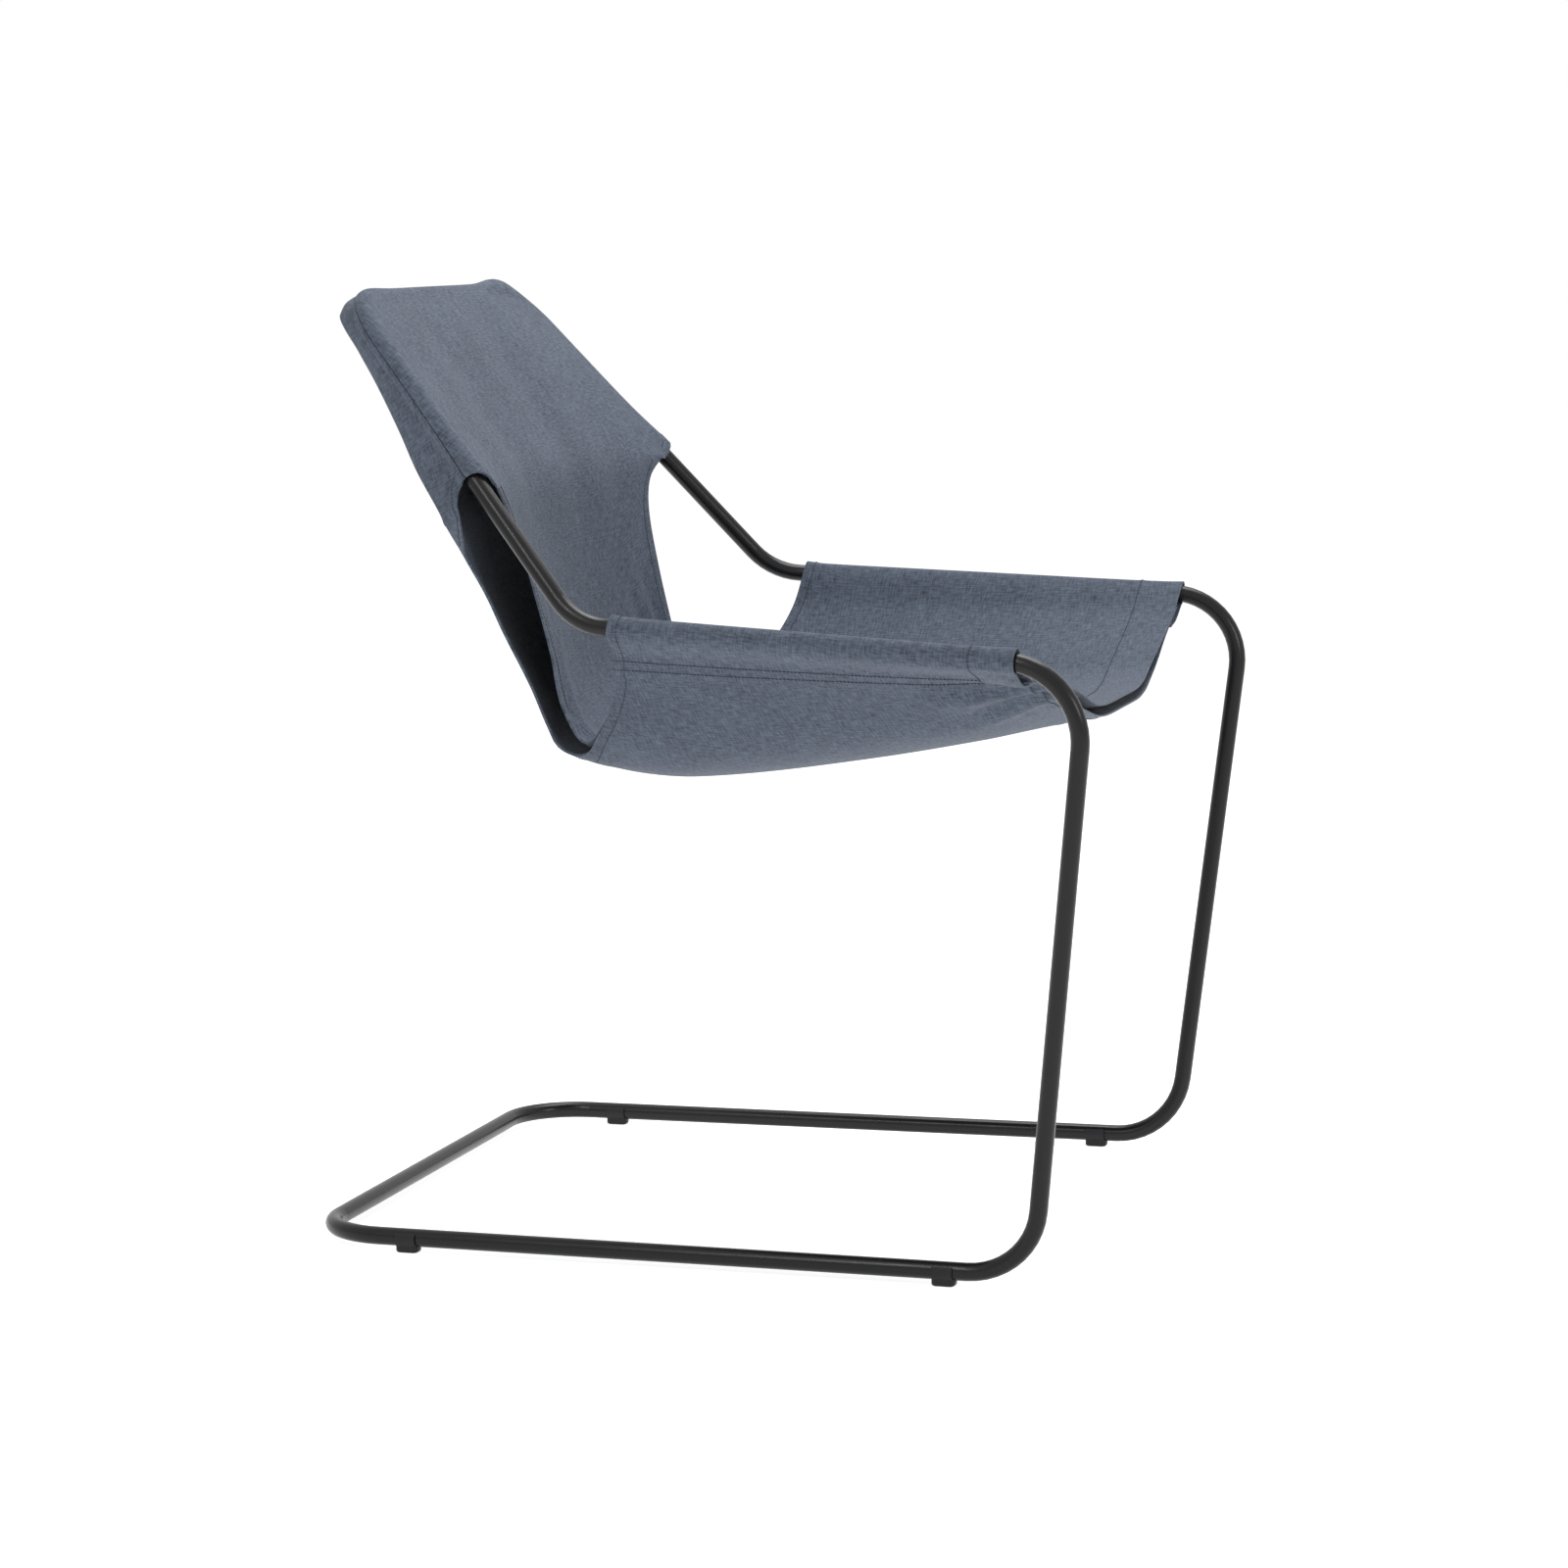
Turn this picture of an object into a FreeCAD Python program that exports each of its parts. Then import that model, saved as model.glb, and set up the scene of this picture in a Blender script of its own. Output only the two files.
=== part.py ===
"""Sling armchair: a canvas cover hung in one bent round bar that stands on four clip-on glides.

The chair faces -Y, X runs across it and +Z is up.  The origin is on the floor, under the middle of
the chair.  Sizes are in millimetres.
"""

import FreeCAD
import Part
import math
import os

Vector = FreeCAD.Vector

# Driving dimensions.  Corner values are where the bar's straight runs would meet.
SIZES = {
    "bar_diameter": 16,
    "bend_radius": 65,
    "weld_gap": 3,
    "sole_thickness": 5,
    "rear_rail_half_width": 290,
    "rear_rail_y": 357,
    "front_foot_half_width": 301,
    "front_foot_y": -305,
    "arm_front_half_width": 350,
    "arm_front_y": -364,
    "arm_front_height": 537,
    "elbow_half_width": 296,
    "elbow_y": 97,
    "elbow_height": 560,
    "top_half_width": 208,
    "top_y": 333.5,
    "top_height": 835.5,
    "glide_length": 18,
    "glide_wall": 1.8,
    "glide_clearance": 0.15,
    "glide_foot_length": 21,
    "glide_foot_width": 15,
    "glide_foot_corner": 5,
    "glide_foot_edge": 2.5,
    "glide_mouth_angle": 120,
    "front_glide_inset": 78,
    "rear_glide_inset": 92,
    "cloth_thickness": 1.5,
    "cloth_clearance": 0.3,
    "sleeve_looseness": 1.0,
    "sleeve_front_inset": 61,
    "sleeve_rear_inset": 37,
    "sleeve_inner_skirt": 22,
    "sleeve_flap": 56,
    "cut_out_depth": 80,
    "cut_out_place": 0.70,
    "layer_gap": 12,
    "seat_front_drop": 73,
    "seat_middle_drop": 117,
    "seat_deepest_drop": 143,
    "seat_rear_drop": 142,
    "seat_wall_slope": 2.27,
    "seat_wall_foot": 0.72,
    "tape_thickness": 1.0,
    "tape_width": 20,
    "tape_edge_inset": 32,
    "tape_end_inset": 14,
    "mouth_share": 0.43,
    "back_edge_half_width": 170,
    "back_sag": 24,
    "rear_layer_depth": 60,
}


def spreadsheet(doc):
    """Write the driving dimensions into a sheet whose cells carry their names."""
    sheet = doc.addObject("Spreadsheet::Sheet", "Sizes")
    for row, (name, value) in enumerate(SIZES.items(), start=1):
        sheet.set("A%d" % row, name)
        sheet.set("B%d" % row, str(value))
        sheet.setAlias("B%d" % row, name)
    doc.recompute()
    return sheet


def unit(vector):
    """Return a copy of the vector with length one."""
    return vector / vector.Length


def mirrored(vector):
    """Return the same point on the other side of the chair."""
    return Vector(-vector.x, vector.y, vector.z)


def blend(start, end, share):
    """Return the value that lies at a share of the way from start to end."""
    return start + (end - start) * share


def through(points, place):
    """Read a smooth curve through (place, value) pairs: a cubic with even slopes."""
    last = len(points) - 1
    index = 0
    while index < last - 1 and place > points[index + 1][0]:
        index += 1
    slopes = []
    for knot in (index, index + 1):
        before, after = max(knot - 1, 0), min(knot + 1, last)
        slopes.append((points[after][1] - points[before][1]) / (points[after][0] - points[before][0]))
    (left, low), (right, high) = points[index], points[index + 1]
    width = right - left
    share = (place - left) / width
    keep = share * share * (3 - 2 * share)
    lead = share * (1 - share) ** 2
    trail = -share * share * (1 - share)
    return low + (high - low) * keep + width * (slopes[0] * lead + slopes[1] * trail)


class Frame:
    """The bar's corners and the straight runs that the cover hangs from."""

    def __init__(self, sheet):
        self.sheet = sheet
        self.radius = sheet.bar_diameter / 2
        self.rail_height = sheet.sole_thickness + self.radius
        self.rear = Vector(sheet.rear_rail_half_width, sheet.rear_rail_y, self.rail_height)
        self.foot = Vector(sheet.front_foot_half_width, sheet.front_foot_y, self.rail_height)
        self.arm = Vector(sheet.arm_front_half_width, sheet.arm_front_y, sheet.arm_front_height)
        self.elbow = Vector(sheet.elbow_half_width, sheet.elbow_y, sheet.elbow_height)
        self.top = Vector(sheet.top_half_width, sheet.top_y, sheet.top_height)
        self.upright = unit(self.top - self.elbow)
        # the back's own plane: its face looks forward and up
        self.facing = unit(Vector(0, -self.upright.z, self.upright.y))

    def arm_axis(self, y):
        """Return the point of the left arm's axis at a place along the chair."""
        return blend(self.arm, self.elbow, (y - self.arm.y) / (self.elbow.y - self.arm.y))

    def upright_axis(self, share):
        """Return the point of the left upright's axis at a share of its height."""
        return blend(self.elbow, self.top, share)


def bend(before, corner, after, radius):
    """Return where an arc that rounds a corner starts, passes its middle and ends."""
    back, on = unit(before - corner), unit(after - corner)
    half_angle = back.getAngle(on) / 2
    reach = radius / math.tan(half_angle)
    middle = corner + unit(back + on) * (radius / math.sin(half_angle) - radius)
    return corner + back * reach, middle, corner + on * reach


def rounded_path(corners, radius):
    """Return a wire of straight runs with an arc of one radius at each inner corner."""
    edges = []
    start = corners[0]
    for before, corner, after in zip(corners, corners[1:], corners[2:]):
        first, middle, last = bend(before, corner, after, radius)
        edges.append(Part.LineSegment(start, first).toShape())
        edges.append(Part.Arc(first, middle, last).toShape())
        start = last
    edges.append(Part.LineSegment(start, corners[-1]).toShape())
    return Part.Wire(edges)


def smooth_surface(poles):
    """Return the cubic surface that a grid of poles pulls smooth."""
    degree = 3
    knots, repeats = [], []
    for count in (len(poles), len(poles[0])):
        spans = count - degree
        knots.append([float(knot) for knot in range(spans + 1)])
        repeats.append([degree + 1] + [1] * (spans - 1) + [degree + 1])
    surface = Part.BSplineSurface()
    surface.buildFromPolesMultsKnots(
        poles, repeats[0], repeats[1], knots[0], knots[1], False, False, degree, degree
    )
    return surface


def sheet_solid(grid, thickness):
    """Return cloth of an even thickness whose middle surface follows a grid of poles."""
    rows, columns = len(grid), len(grid[0])
    faces_up, faces_down = [], []
    for row in range(rows):
        up, down = [], []
        for column in range(columns):
            along = grid[min(row + 1, rows - 1)][column] - grid[max(row - 1, 0)][column]
            across = grid[row][min(column + 1, columns - 1)] - grid[row][max(column - 1, 0)]
            normal = unit(along.cross(across)) * (thickness / 2)
            up.append(grid[row][column] + normal)
            down.append(grid[row][column] - normal)
        faces_up.append(up)
        faces_down.append(down)
    upper, lower = smooth_surface(faces_up), smooth_surface(faces_down)
    first_u, last_u, first_v, last_v = upper.bounds()
    borders = [(upper.uIso(place), lower.uIso(place)) for place in (first_u, last_u)]
    borders += [(upper.vIso(place), lower.vIso(place)) for place in (first_v, last_v)]
    faces = [upper.toShape(), lower.toShape()]
    same_way = 1
    for one, other in borders:
        faces.append(Part.makeRuledSurface(one.toShape(), other.toShape(), same_way))
    shell = Part.makeShell(faces)
    shell.sewShape()
    solid = Part.makeSolid(shell)
    if solid.Volume < 0:
        solid.reverse()
    return solid


class Seat:
    """The hammock between the arms: a middle surface that both layers keep their distance from."""

    def __init__(self, frame):
        sheet = frame.sheet
        self.frame = frame
        self.sheet = sheet
        self.front = frame.arm.y + sheet.sleeve_front_inset
        self.sleeve_rear = frame.elbow.y - sheet.sleeve_rear_inset
        span = self.sleeve_rear + sheet.cut_out_depth - self.front
        self.drops = [
            (self.front, sheet.seat_front_drop),
            (self.front + span * 0.42, sheet.seat_middle_drop),
            (self.front + span * 0.8, sheet.seat_deepest_drop),
            (self.front + span, sheet.seat_rear_drop),
        ]
        # share of the drop across the seat: a flat floor that turns up into two straight walls
        wall_top = sheet.seat_wall_slope * (1 - sheet.seat_wall_foot)
        foot = sheet.seat_wall_foot
        self.profile = [
            (0, 1),
            (foot * 0.35, 1),
            (foot * 0.62, blend(wall_top, 1, 0.88)),
            (foot * 0.83, blend(wall_top, 1, 0.59)),
            (foot, wall_top),
            (1, 0),
        ]

    def rear_edge(self, across):
        """Return how far back the cloth reaches: short at the arms, long between the cut-outs."""
        narrowing = (abs(across) / self.sheet.cut_out_place) ** 9
        return self.sleeve_rear + self.sheet.cut_out_depth / (1 + narrowing)

    def middle(self, across, along):
        """Return a point between the two layers: across runs from -1 to 1, along from 0 to 1."""
        y = blend(self.front, self.rear_edge(across), along)
        axis = self.frame.arm_axis(y)
        drop = through(self.drops, y)
        height = axis.z - drop * through(self.profile, abs(across))
        return Vector(across * axis.x, y, height)

    def normal(self, across, along):
        """Return the direction out of the seat towards the sitter."""
        step = 0.01
        rightward = self.middle(across + step, along) - self.middle(across - step, along)
        rearward = self.middle(across, along + step) - self.middle(across, along - step)
        return unit(rightward.cross(rearward))

    def offset(self, across, along, distance):
        """Return a point at a distance above the middle surface."""
        return self.middle(across, along) + self.normal(across, along) * distance

    def across_at(self, down, along):
        """Return the across value that lies a length of cloth down from the left arm's axis."""
        y = blend(self.front, self.rear_edge(1), along)
        axis = self.frame.arm_axis(y)
        rise = self.sheet.seat_wall_slope * through(self.drops, y)
        return 1 - down / math.hypot(axis.x, rise)


class Cover:
    """The canvas: an inner and an outer layer, sewn together below the arms."""

    STATIONS = 9
    COLUMNS = 17
    MOUTH_ROW = 6
    EVENING_PASSES = 4

    def __init__(self, frame):
        sheet = frame.sheet
        self.frame = frame
        self.sheet = sheet
        self.seat = Seat(frame)
        self.thickness = sheet.cloth_thickness
        self.pitch = sheet.cloth_thickness + sheet.cloth_clearance
        self.wrap = frame.radius + sheet.sleeve_looseness + sheet.cloth_thickness / 2
        self.beside_bar = frame.radius + sheet.cloth_clearance + sheet.cloth_thickness / 2
        # the layers where they are sewn: inner, outer, two tapes, flap
        tape_pitch = sheet.tape_thickness + sheet.cloth_clearance
        first_tape = (sheet.cloth_thickness + sheet.tape_thickness) / 2 + sheet.cloth_clearance
        self.inner_at_seam = self.pitch
        self.tape_offsets = (-first_tape, -first_tape - tape_pitch)
        self.flap_at_seam = -2 * first_tape - tape_pitch
        self.seam = sheet.tape_edge_inset + sheet.tape_width / 2

    def inner_offset(self, down):
        """Return how far the inner layer lies above the middle surface."""
        stops = [(0, self.wrap), (self.seam, self.inner_at_seam), (self.seam * 3, self.sheet.layer_gap / 2)]
        return self.stepped(stops, down)

    def outer_offset(self, down):
        """Return how far the outer layer lies below the middle surface, as a negative number."""
        stops = [(0, 0), (self.seam * 1.5, 0), (self.seam * 3.5, -self.sheet.layer_gap / 2)]
        return self.stepped(stops, down)

    @staticmethod
    def stepped(stops, place):
        """Read a curve that eases from stop to stop and stays level beyond them."""
        for (left, low), (right, high) in zip(stops, stops[1:]):
            if place <= right:
                share = max(0.0, (place - left) / (right - left))
                return low + (high - low) * share * share * (3 - 2 * share)
        return stops[-1][1]

    def seat_layer(self, first_down, offset_of):
        """Return one layer of the seat, from a length below one arm to the same below the other."""
        grid = []
        for station in range(self.STATIONS):
            along = station / (self.STATIONS - 1)
            edge = self.seat.across_at(first_down, along)
            slope = (1 - edge) / first_down
            row = []
            for column in range(self.COLUMNS):
                share = 2 * column / (self.COLUMNS - 1) - 1
                across = edge * math.copysign(abs(share) ** 0.8, share)
                down = (1 - abs(across)) / slope
                row.append(self.seat.offset(across, along, offset_of(down)))
            grid.append(row)
        return sheet_solid(grid, self.thickness)

    def seat_panel(self):
        """Return the inner layer that is sat on."""
        return self.seat_layer(self.sheet.sleeve_inner_skirt + self.sheet.cloth_clearance, self.inner_offset)

    def under_panel(self):
        """Return the outer layer below the seat."""
        return self.seat_layer(self.sheet.sleeve_inner_skirt + self.thickness, self.outer_offset)

    def sleeve_row(self, along):
        """Return the left sleeve's section: up the inside, over the bar and down as a flap."""
        seat = self.seat
        skirt = self.sheet.sleeve_inner_skirt
        row = []
        for down in (skirt, skirt / 2):
            row.append(seat.offset(seat.across_at(down, along), along, self.inner_offset(down)))
        axis = seat.middle(1, along)
        up = seat.normal(1, along)
        outward = unit(seat.middle(1, along) - seat.middle(0.99, along))
        for degrees in (0, 36, 72, 108, 144, 180):
            turn = math.radians(degrees)
            row.append(axis + (up * math.cos(turn) + outward * math.sin(turn)) * self.wrap)
        flap = self.sheet.sleeve_flap
        for share in (0.25, 0.5, 0.75, 1.0):
            down = flap * share
            distance = self.stepped([(0, -self.wrap), (self.seam * 0.75, self.flap_at_seam)], down)
            row.append(seat.offset(seat.across_at(down, along), along, distance))
        return row

    def arm_sleeve(self, side):
        """Return one arm's sleeve; side is 1 for the sitter's left and -1 for the right."""
        grid = [self.sleeve_row(station / (self.STATIONS - 1)) for station in range(self.STATIONS)]
        return sheet_solid(self.on_side(grid, side), self.thickness)

    def closure_tape(self, side, distance):
        """Return a strip of hook or loop tape between the flap and the outer layer."""
        sheet = self.sheet
        length = self.seat.sleeve_rear - self.seat.front
        end = sheet.tape_end_inset / length
        grid = []
        for station in range(self.STATIONS):
            along = blend(end, 1 - end, station / (self.STATIONS - 1))
            row = []
            for share in (0, 0.25, 0.5, 0.75, 1.0):
                down = sheet.tape_edge_inset + sheet.tape_width * share
                row.append(self.seat.offset(self.seat.across_at(down, along), along, distance))
            grid.append(row)
        return sheet_solid(self.on_side(grid, side), sheet.tape_thickness)

    @staticmethod
    def on_side(grid, side):
        """Return the grid itself for the left side, or its mirror image for the right."""
        if side > 0:
            return grid
        return [[mirrored(point) for point in row] for row in grid]

    def back_outline(self):
        """Return the bar's outline in the back: upright, corner arc and half of the top rail."""
        frame = self.frame
        middle = Vector(0, frame.top.y, frame.top.z)
        first, bow, last = bend(frame.elbow, frame.top, middle, self.sheet.bend_radius)
        return first, bow, last, middle

    def front_edges(self):
        """Return the inner back layer's left edge, from the seat to the top corner."""
        frame, sheet = self.frame, self.sheet
        narrow = sheet.back_edge_half_width
        mouth = frame.upright_axis(sheet.mouth_share)
        first, bow, _, _ = self.back_outline()
        ahead = frame.facing * self.beside_bar
        inboard = Vector(-frame.radius * 3, 0, 0)
        low = self.seat_end(narrow)
        edge = [low]
        # the free edge curves in below the pocket and falls steeply to the seat
        for share, inset in ((0.2, 0.01), (0.4, 0.0), (0.6, 0.03), (0.8, 0.16), (0.92, 0.42)):
            height = blend(low.z, mouth.z, share)
            run = blend(low.y, mouth.y, 1 - (1 - share) ** 1.5)
            half = blend(narrow, mouth.x + inboard.x, inset)
            edge.append(Vector(half, run, height))
        edge.append(mouth + inboard + ahead * 0.5)
        for share in (0.12, 0.3, 0.65, 1.0):
            edge.append(blend(mouth, first, share) + ahead)
        edge.append(bow + ahead)
        return edge

    def seat_end(self, half_width):
        """Return the inner seat layer's last point at a distance from the middle of the chair."""
        across = half_width / self.frame.arm_axis(self.seat.sleeve_rear).x
        gap = Vector(0, 1, 0.5) * (self.sheet.cloth_clearance * 2)
        return self.seat.offset(across, 1, self.sheet.layer_gap / 2) + gap

    def back_panel(self):
        """Return the inner layer of the back, from the seat up to the front of the top rail."""
        edges = self.front_edges()
        rows = len(edges)
        grid = []
        for index, edge in enumerate(edges):
            rise = index / (rows - 1)
            sag = self.sheet.back_sag * (1 - rise ** 4)
            row = []
            for column in range(self.COLUMNS):
                share = 2 * column / (self.COLUMNS - 1) - 1
                behind = self.back_direction(index, edges) * (sag * (1 - share * share))
                point = Vector(edge.x * share, edge.y, edge.z) + behind
                if index == 0:
                    point = self.seat_end(edge.x * share)
                elif index == rows - 1:
                    point = self.top_point(share, edge)
                row.append(point)
            grid.append(row)
        return sheet_solid(self.evened(grid), self.thickness)

    def evened(self, grid):
        """Even out a back panel from row to row, as taut cloth does; its edges and ends stay put."""
        last = len(grid[0]) - 1
        for _ in range(self.EVENING_PASSES):
            taut = [grid[0]]
            for above, row, below in zip(grid, grid[1:], grid[2:]):
                freed = []
                for column, point in enumerate(row):
                    share = 2 * column / last - 1
                    pull = 0.5 * (1 - share * share)
                    freed.append(blend(point, (above[column] + below[column]) * 0.5, pull))
                taut.append(freed)
            taut.append(grid[-1])
            grid = taut
        return grid

    def back_direction(self, index, edges):
        """Return the rearward direction square to the edge at one of its points."""
        run = edges[min(index + 1, len(edges) - 1)] - edges[max(index - 1, 0)]
        return unit(Vector(0, run.z, -run.y))

    def top_point(self, share, corner):
        """Return a point along the top rail's front, rounded into the two corners."""
        _, bow, last, middle = self.back_outline()
        ahead = corner - bow
        rise = last - bow
        straight = last.x / bow.x
        if abs(share) <= straight:
            return Vector(bow.x * share, last.y, last.z) + ahead
        part = (abs(share) - straight) / (1 - straight)
        return Vector(bow.x * share, last.y, last.z) + ahead - Vector(0, rise.y, rise.z) * part ** 2

    def rear_edges(self):
        """Return the outer back layer's left edge, from below the seat to the top corner."""
        frame, sheet = self.frame, self.sheet
        inner = self.front_edges()
        _, bow, _, _ = self.back_outline()
        high = bow - frame.facing * self.beside_bar
        edge = [self.under_end(inner[0].x)]
        for index, point in enumerate(inner[1:], start=1):
            rise = index / (len(inner) - 1)
            apart = sheet.rear_layer_depth * math.sin(math.pi * min(1.0, rise * 1.1)) ** 0.8
            edge.append(point + Vector(0, apart, 0))
        rows_above = len(inner) - 1 - self.MOUTH_ROW
        for step in range(1, rows_above + 1):
            edge[self.MOUTH_ROW + step] = blend(edge[self.MOUTH_ROW], high, step / rows_above)
        return edge

    def under_end(self, half_width):
        """Return the outer seat layer's last point at a distance from the middle of the chair."""
        across = half_width / self.frame.arm_axis(self.seat.sleeve_rear).x
        gap = Vector(0, 1, 0.5) * (self.sheet.cloth_clearance * 2)
        return self.seat.offset(across, 1, -self.sheet.layer_gap / 2) + gap

    def rear_panel(self):
        """Return the outer layer of the back; above the pocket's mouth it turns in to the bar."""
        inner = self.front_edges()
        edges = self.rear_edges()
        rows = len(edges)
        grid = []
        for index, edge in enumerate(edges):
            in_pocket = index >= self.MOUTH_ROW
            reach = 1.0 if in_pocket else 0.94
            side = inner[index] - self.frame.facing * (2 * self.beside_bar) if in_pocket else edge
            if index == self.MOUTH_ROW:
                side = self.frame.upright_axis(self.sheet.mouth_share) - self.frame.facing * self.beside_bar
            sag = self.sheet.back_sag * (1 - (index / (rows - 1)) ** 4)
            row = [mirrored(side)]
            for column in range(self.COLUMNS):
                share = 2 * column / (self.COLUMNS - 1) - 1
                behind = self.back_direction(index, inner) * (sag * (1 - share * share))
                point = Vector(edge.x * share * reach, edge.y, edge.z) + behind
                if index == 0:
                    point = self.under_end(edge.x * share * reach)
                elif index == rows - 1:
                    point = self.top_point(share * 0.98, edge)
                row.append(point)
            row.append(side)
            grid.append(row)
        return sheet_solid(self.evened(grid), self.thickness)

    def pocket_path(self):
        """Return the axis that the pocket's edge follows, from one mouth over the top to the other."""
        frame = self.frame
        mouth = frame.upright_axis(self.sheet.mouth_share)
        return rounded_path([mouth, frame.top, mirrored(frame.top), mirrored(mouth)], self.sheet.bend_radius)

    def pocket_section(self):
        """Return the pocket edge's section: a half ring round the outside of the bar."""
        frame = self.frame
        mouth = frame.upright_axis(self.sheet.mouth_share)
        ahead = frame.facing
        outward = unit(frame.upright.cross(ahead))
        if outward.x < 0:
            outward = outward * -1
        near = frame.radius + self.sheet.cloth_clearance
        far = near + self.thickness
        inner = Part.Arc(mouth + ahead * near, mouth + outward * near, mouth - ahead * near).toShape()
        outer = Part.Arc(mouth + ahead * far, mouth + outward * far, mouth - ahead * far).toShape()
        front = Part.LineSegment(mouth + ahead * near, mouth + ahead * far).toShape()
        rear = Part.LineSegment(mouth - ahead * near, mouth - ahead * far).toShape()
        return Part.Wire([outer, rear, inner, front])


def add_bar(doc, frame):
    """Add the bar: one round section swept round the whole loop, open at the weld."""
    sheet = frame.sheet
    top_middle = Vector(sheet.weld_gap / 2, frame.top.y, frame.top.z)
    left = [frame.top, frame.elbow, frame.arm, frame.foot, frame.rear]
    right = [mirrored(corner) for corner in reversed(left)]
    corners = [top_middle] + left + right + [mirrored(top_middle)]
    path = doc.addObject("Part::Feature", "BarPath")
    path.Shape = rounded_path(corners, sheet.bend_radius)
    section = doc.addObject("Part::Circle", "BarSection")
    section.setExpression("Radius", "Sizes.bar_diameter / 2")
    section.Placement = FreeCAD.Placement(top_middle, FreeCAD.Rotation(Vector(0, 0, 1), Vector(1, 0, 0)))
    bar = doc.addObject("Part::Sweep", "FrameBar")
    bar.Sections = [section]
    bar.Spine = (path, ["Edge%d" % (number + 1) for number in range(len(path.Shape.Edges))])
    bar.Solid = True
    bar.Frenet = False
    bar.Label = "frame_bar"
    weld = doc.addObject("Part::Cylinder", "ClosingWeld")
    weld.setExpression("Radius", "Sizes.bar_diameter / 2")
    weld.setExpression("Height", "Sizes.weld_gap")
    weld.Placement = FreeCAD.Placement(
        mirrored(top_middle), FreeCAD.Rotation(Vector(0, 0, 1), Vector(1, 0, 0))
    )
    weld.Label = "closing_weld"
    return [bar, weld]


def add_glide(doc, frame, label, side, from_front, inset):
    """Add one clip-on glide: a sprung saddle round the underside of the rail, with a foot below."""
    name = label.title().replace("_", "")
    rail = unit(frame.rear - frame.foot)
    place = frame.foot + rail * inset if from_front else frame.rear - rail * inset
    if side < 0:
        place, rail = mirrored(place), mirrored(rail)
    # local frame: Z along the rail, X across it and Y up
    turn = FreeCAD.Rotation(Vector(0, 0, 1).cross(rail), Vector(0, 0, 1), rail, "ZYX")
    saddle = doc.addObject("Part::Cylinder", name + "Saddle")
    saddle.setExpression("Radius", "Sizes.bar_diameter / 2 + Sizes.glide_clearance + Sizes.glide_wall")
    saddle.setExpression("Height", "Sizes.glide_length")
    saddle.setExpression("Placement.Base.z", "-Sizes.glide_length / 2")
    foot = doc.addObject("Part::Box", name + "Foot")
    foot.setExpression("Length", "Sizes.glide_foot_width")
    foot.setExpression("Width", "Sizes.bar_diameter / 2 + Sizes.sole_thickness")
    foot.setExpression("Height", "Sizes.glide_foot_length")
    foot.setExpression("Placement.Base.x", "-Sizes.glide_foot_width / 2")
    foot.setExpression("Placement.Base.y", "-Sizes.bar_diameter / 2 - Sizes.sole_thickness")
    foot.setExpression("Placement.Base.z", "-Sizes.glide_foot_length / 2")
    doc.recompute()
    rounded = doc.addObject("Part::Fillet", name + "RoundFoot")
    rounded.Base = foot
    corner = frame.sheet.glide_foot_corner
    upright = [
        (number, corner, corner)
        for number, edge in enumerate(foot.Shape.Edges, start=1)
        if abs(edge.tangentAt(edge.FirstParameter).y) > 0.9
    ]
    rounded.Edges = upright
    doc.recompute()
    # the foot's sole is eased all round, so that it slides
    sole = doc.addObject("Part::Fillet", name + "Sole")
    sole.Base = rounded
    ease = frame.sheet.glide_foot_edge
    lowest = rounded.Shape.BoundBox.YMin + 0.001
    sole.Edges = [
        (number, ease, ease)
        for number, edge in enumerate(rounded.Shape.Edges, start=1)
        if edge.BoundBox.YMax < lowest
    ]
    body = doc.addObject("Part::Fuse", name + "Body")
    body.Base = saddle
    body.Tool = sole
    bore = doc.addObject("Part::Cylinder", name + "Bore")
    bore.setExpression("Radius", "Sizes.bar_diameter / 2 + Sizes.glide_clearance")
    bore.setExpression("Height", "Sizes.glide_foot_length * 2")
    bore.setExpression("Placement.Base.z", "-Sizes.glide_foot_length")
    bored = doc.addObject("Part::Cut", name + "Bored")
    bored.Base = body
    bored.Tool = bore
    mouth = doc.addObject("Part::Cylinder", name + "Mouth")
    mouth.setExpression("Radius", "Sizes.bar_diameter")
    mouth.setExpression("Height", "Sizes.glide_foot_length * 2")
    mouth.setExpression("Angle", "Sizes.glide_mouth_angle")
    mouth.setExpression("Placement.Base.z", "-Sizes.glide_foot_length")
    mouth.setExpression("Placement.Rotation.Angle", "90 deg - Sizes.glide_mouth_angle * 0.5 deg")
    glide = doc.addObject("Part::Cut", name)
    glide.Base = bored
    glide.Tool = mouth
    glide.Placement = FreeCAD.Placement(place, turn)
    glide.Label = label
    return glide


def add_sheet(doc, label, shape):
    """Add one piece of cloth or tape whose shape follows the frame."""
    piece = doc.addObject("Part::Feature", label.title().replace("_", ""))
    piece.Shape = shape
    piece.Label = label
    return piece


def add_cover(doc, frame):
    """Add the canvas cover's pieces."""
    cover = Cover(frame)
    hook, loop = cover.tape_offsets[1], cover.tape_offsets[0]
    pieces = [
        add_sheet(doc, "seat_panel", cover.seat_panel()),
        add_sheet(doc, "under_panel", cover.under_panel()),
        add_sheet(doc, "back_panel", cover.back_panel()),
        add_sheet(doc, "rear_panel", cover.rear_panel()),
    ]
    pocket = doc.addObject("Part::Feature", "PocketEdge")
    pocket.Shape = cover.pocket_path().makePipeShell([cover.pocket_section()], True, False)
    pocket.Label = "pocket_edge"
    pieces.append(pocket)
    for side, hand in ((1, "left"), (-1, "right")):
        pieces.append(add_sheet(doc, "arm_sleeve_" + hand, cover.arm_sleeve(side)))
        pieces.append(add_sheet(doc, "hook_tape_" + hand, cover.closure_tape(side, hook)))
        pieces.append(add_sheet(doc, "loop_tape_" + hand, cover.closure_tape(side, loop)))
    return pieces


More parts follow.
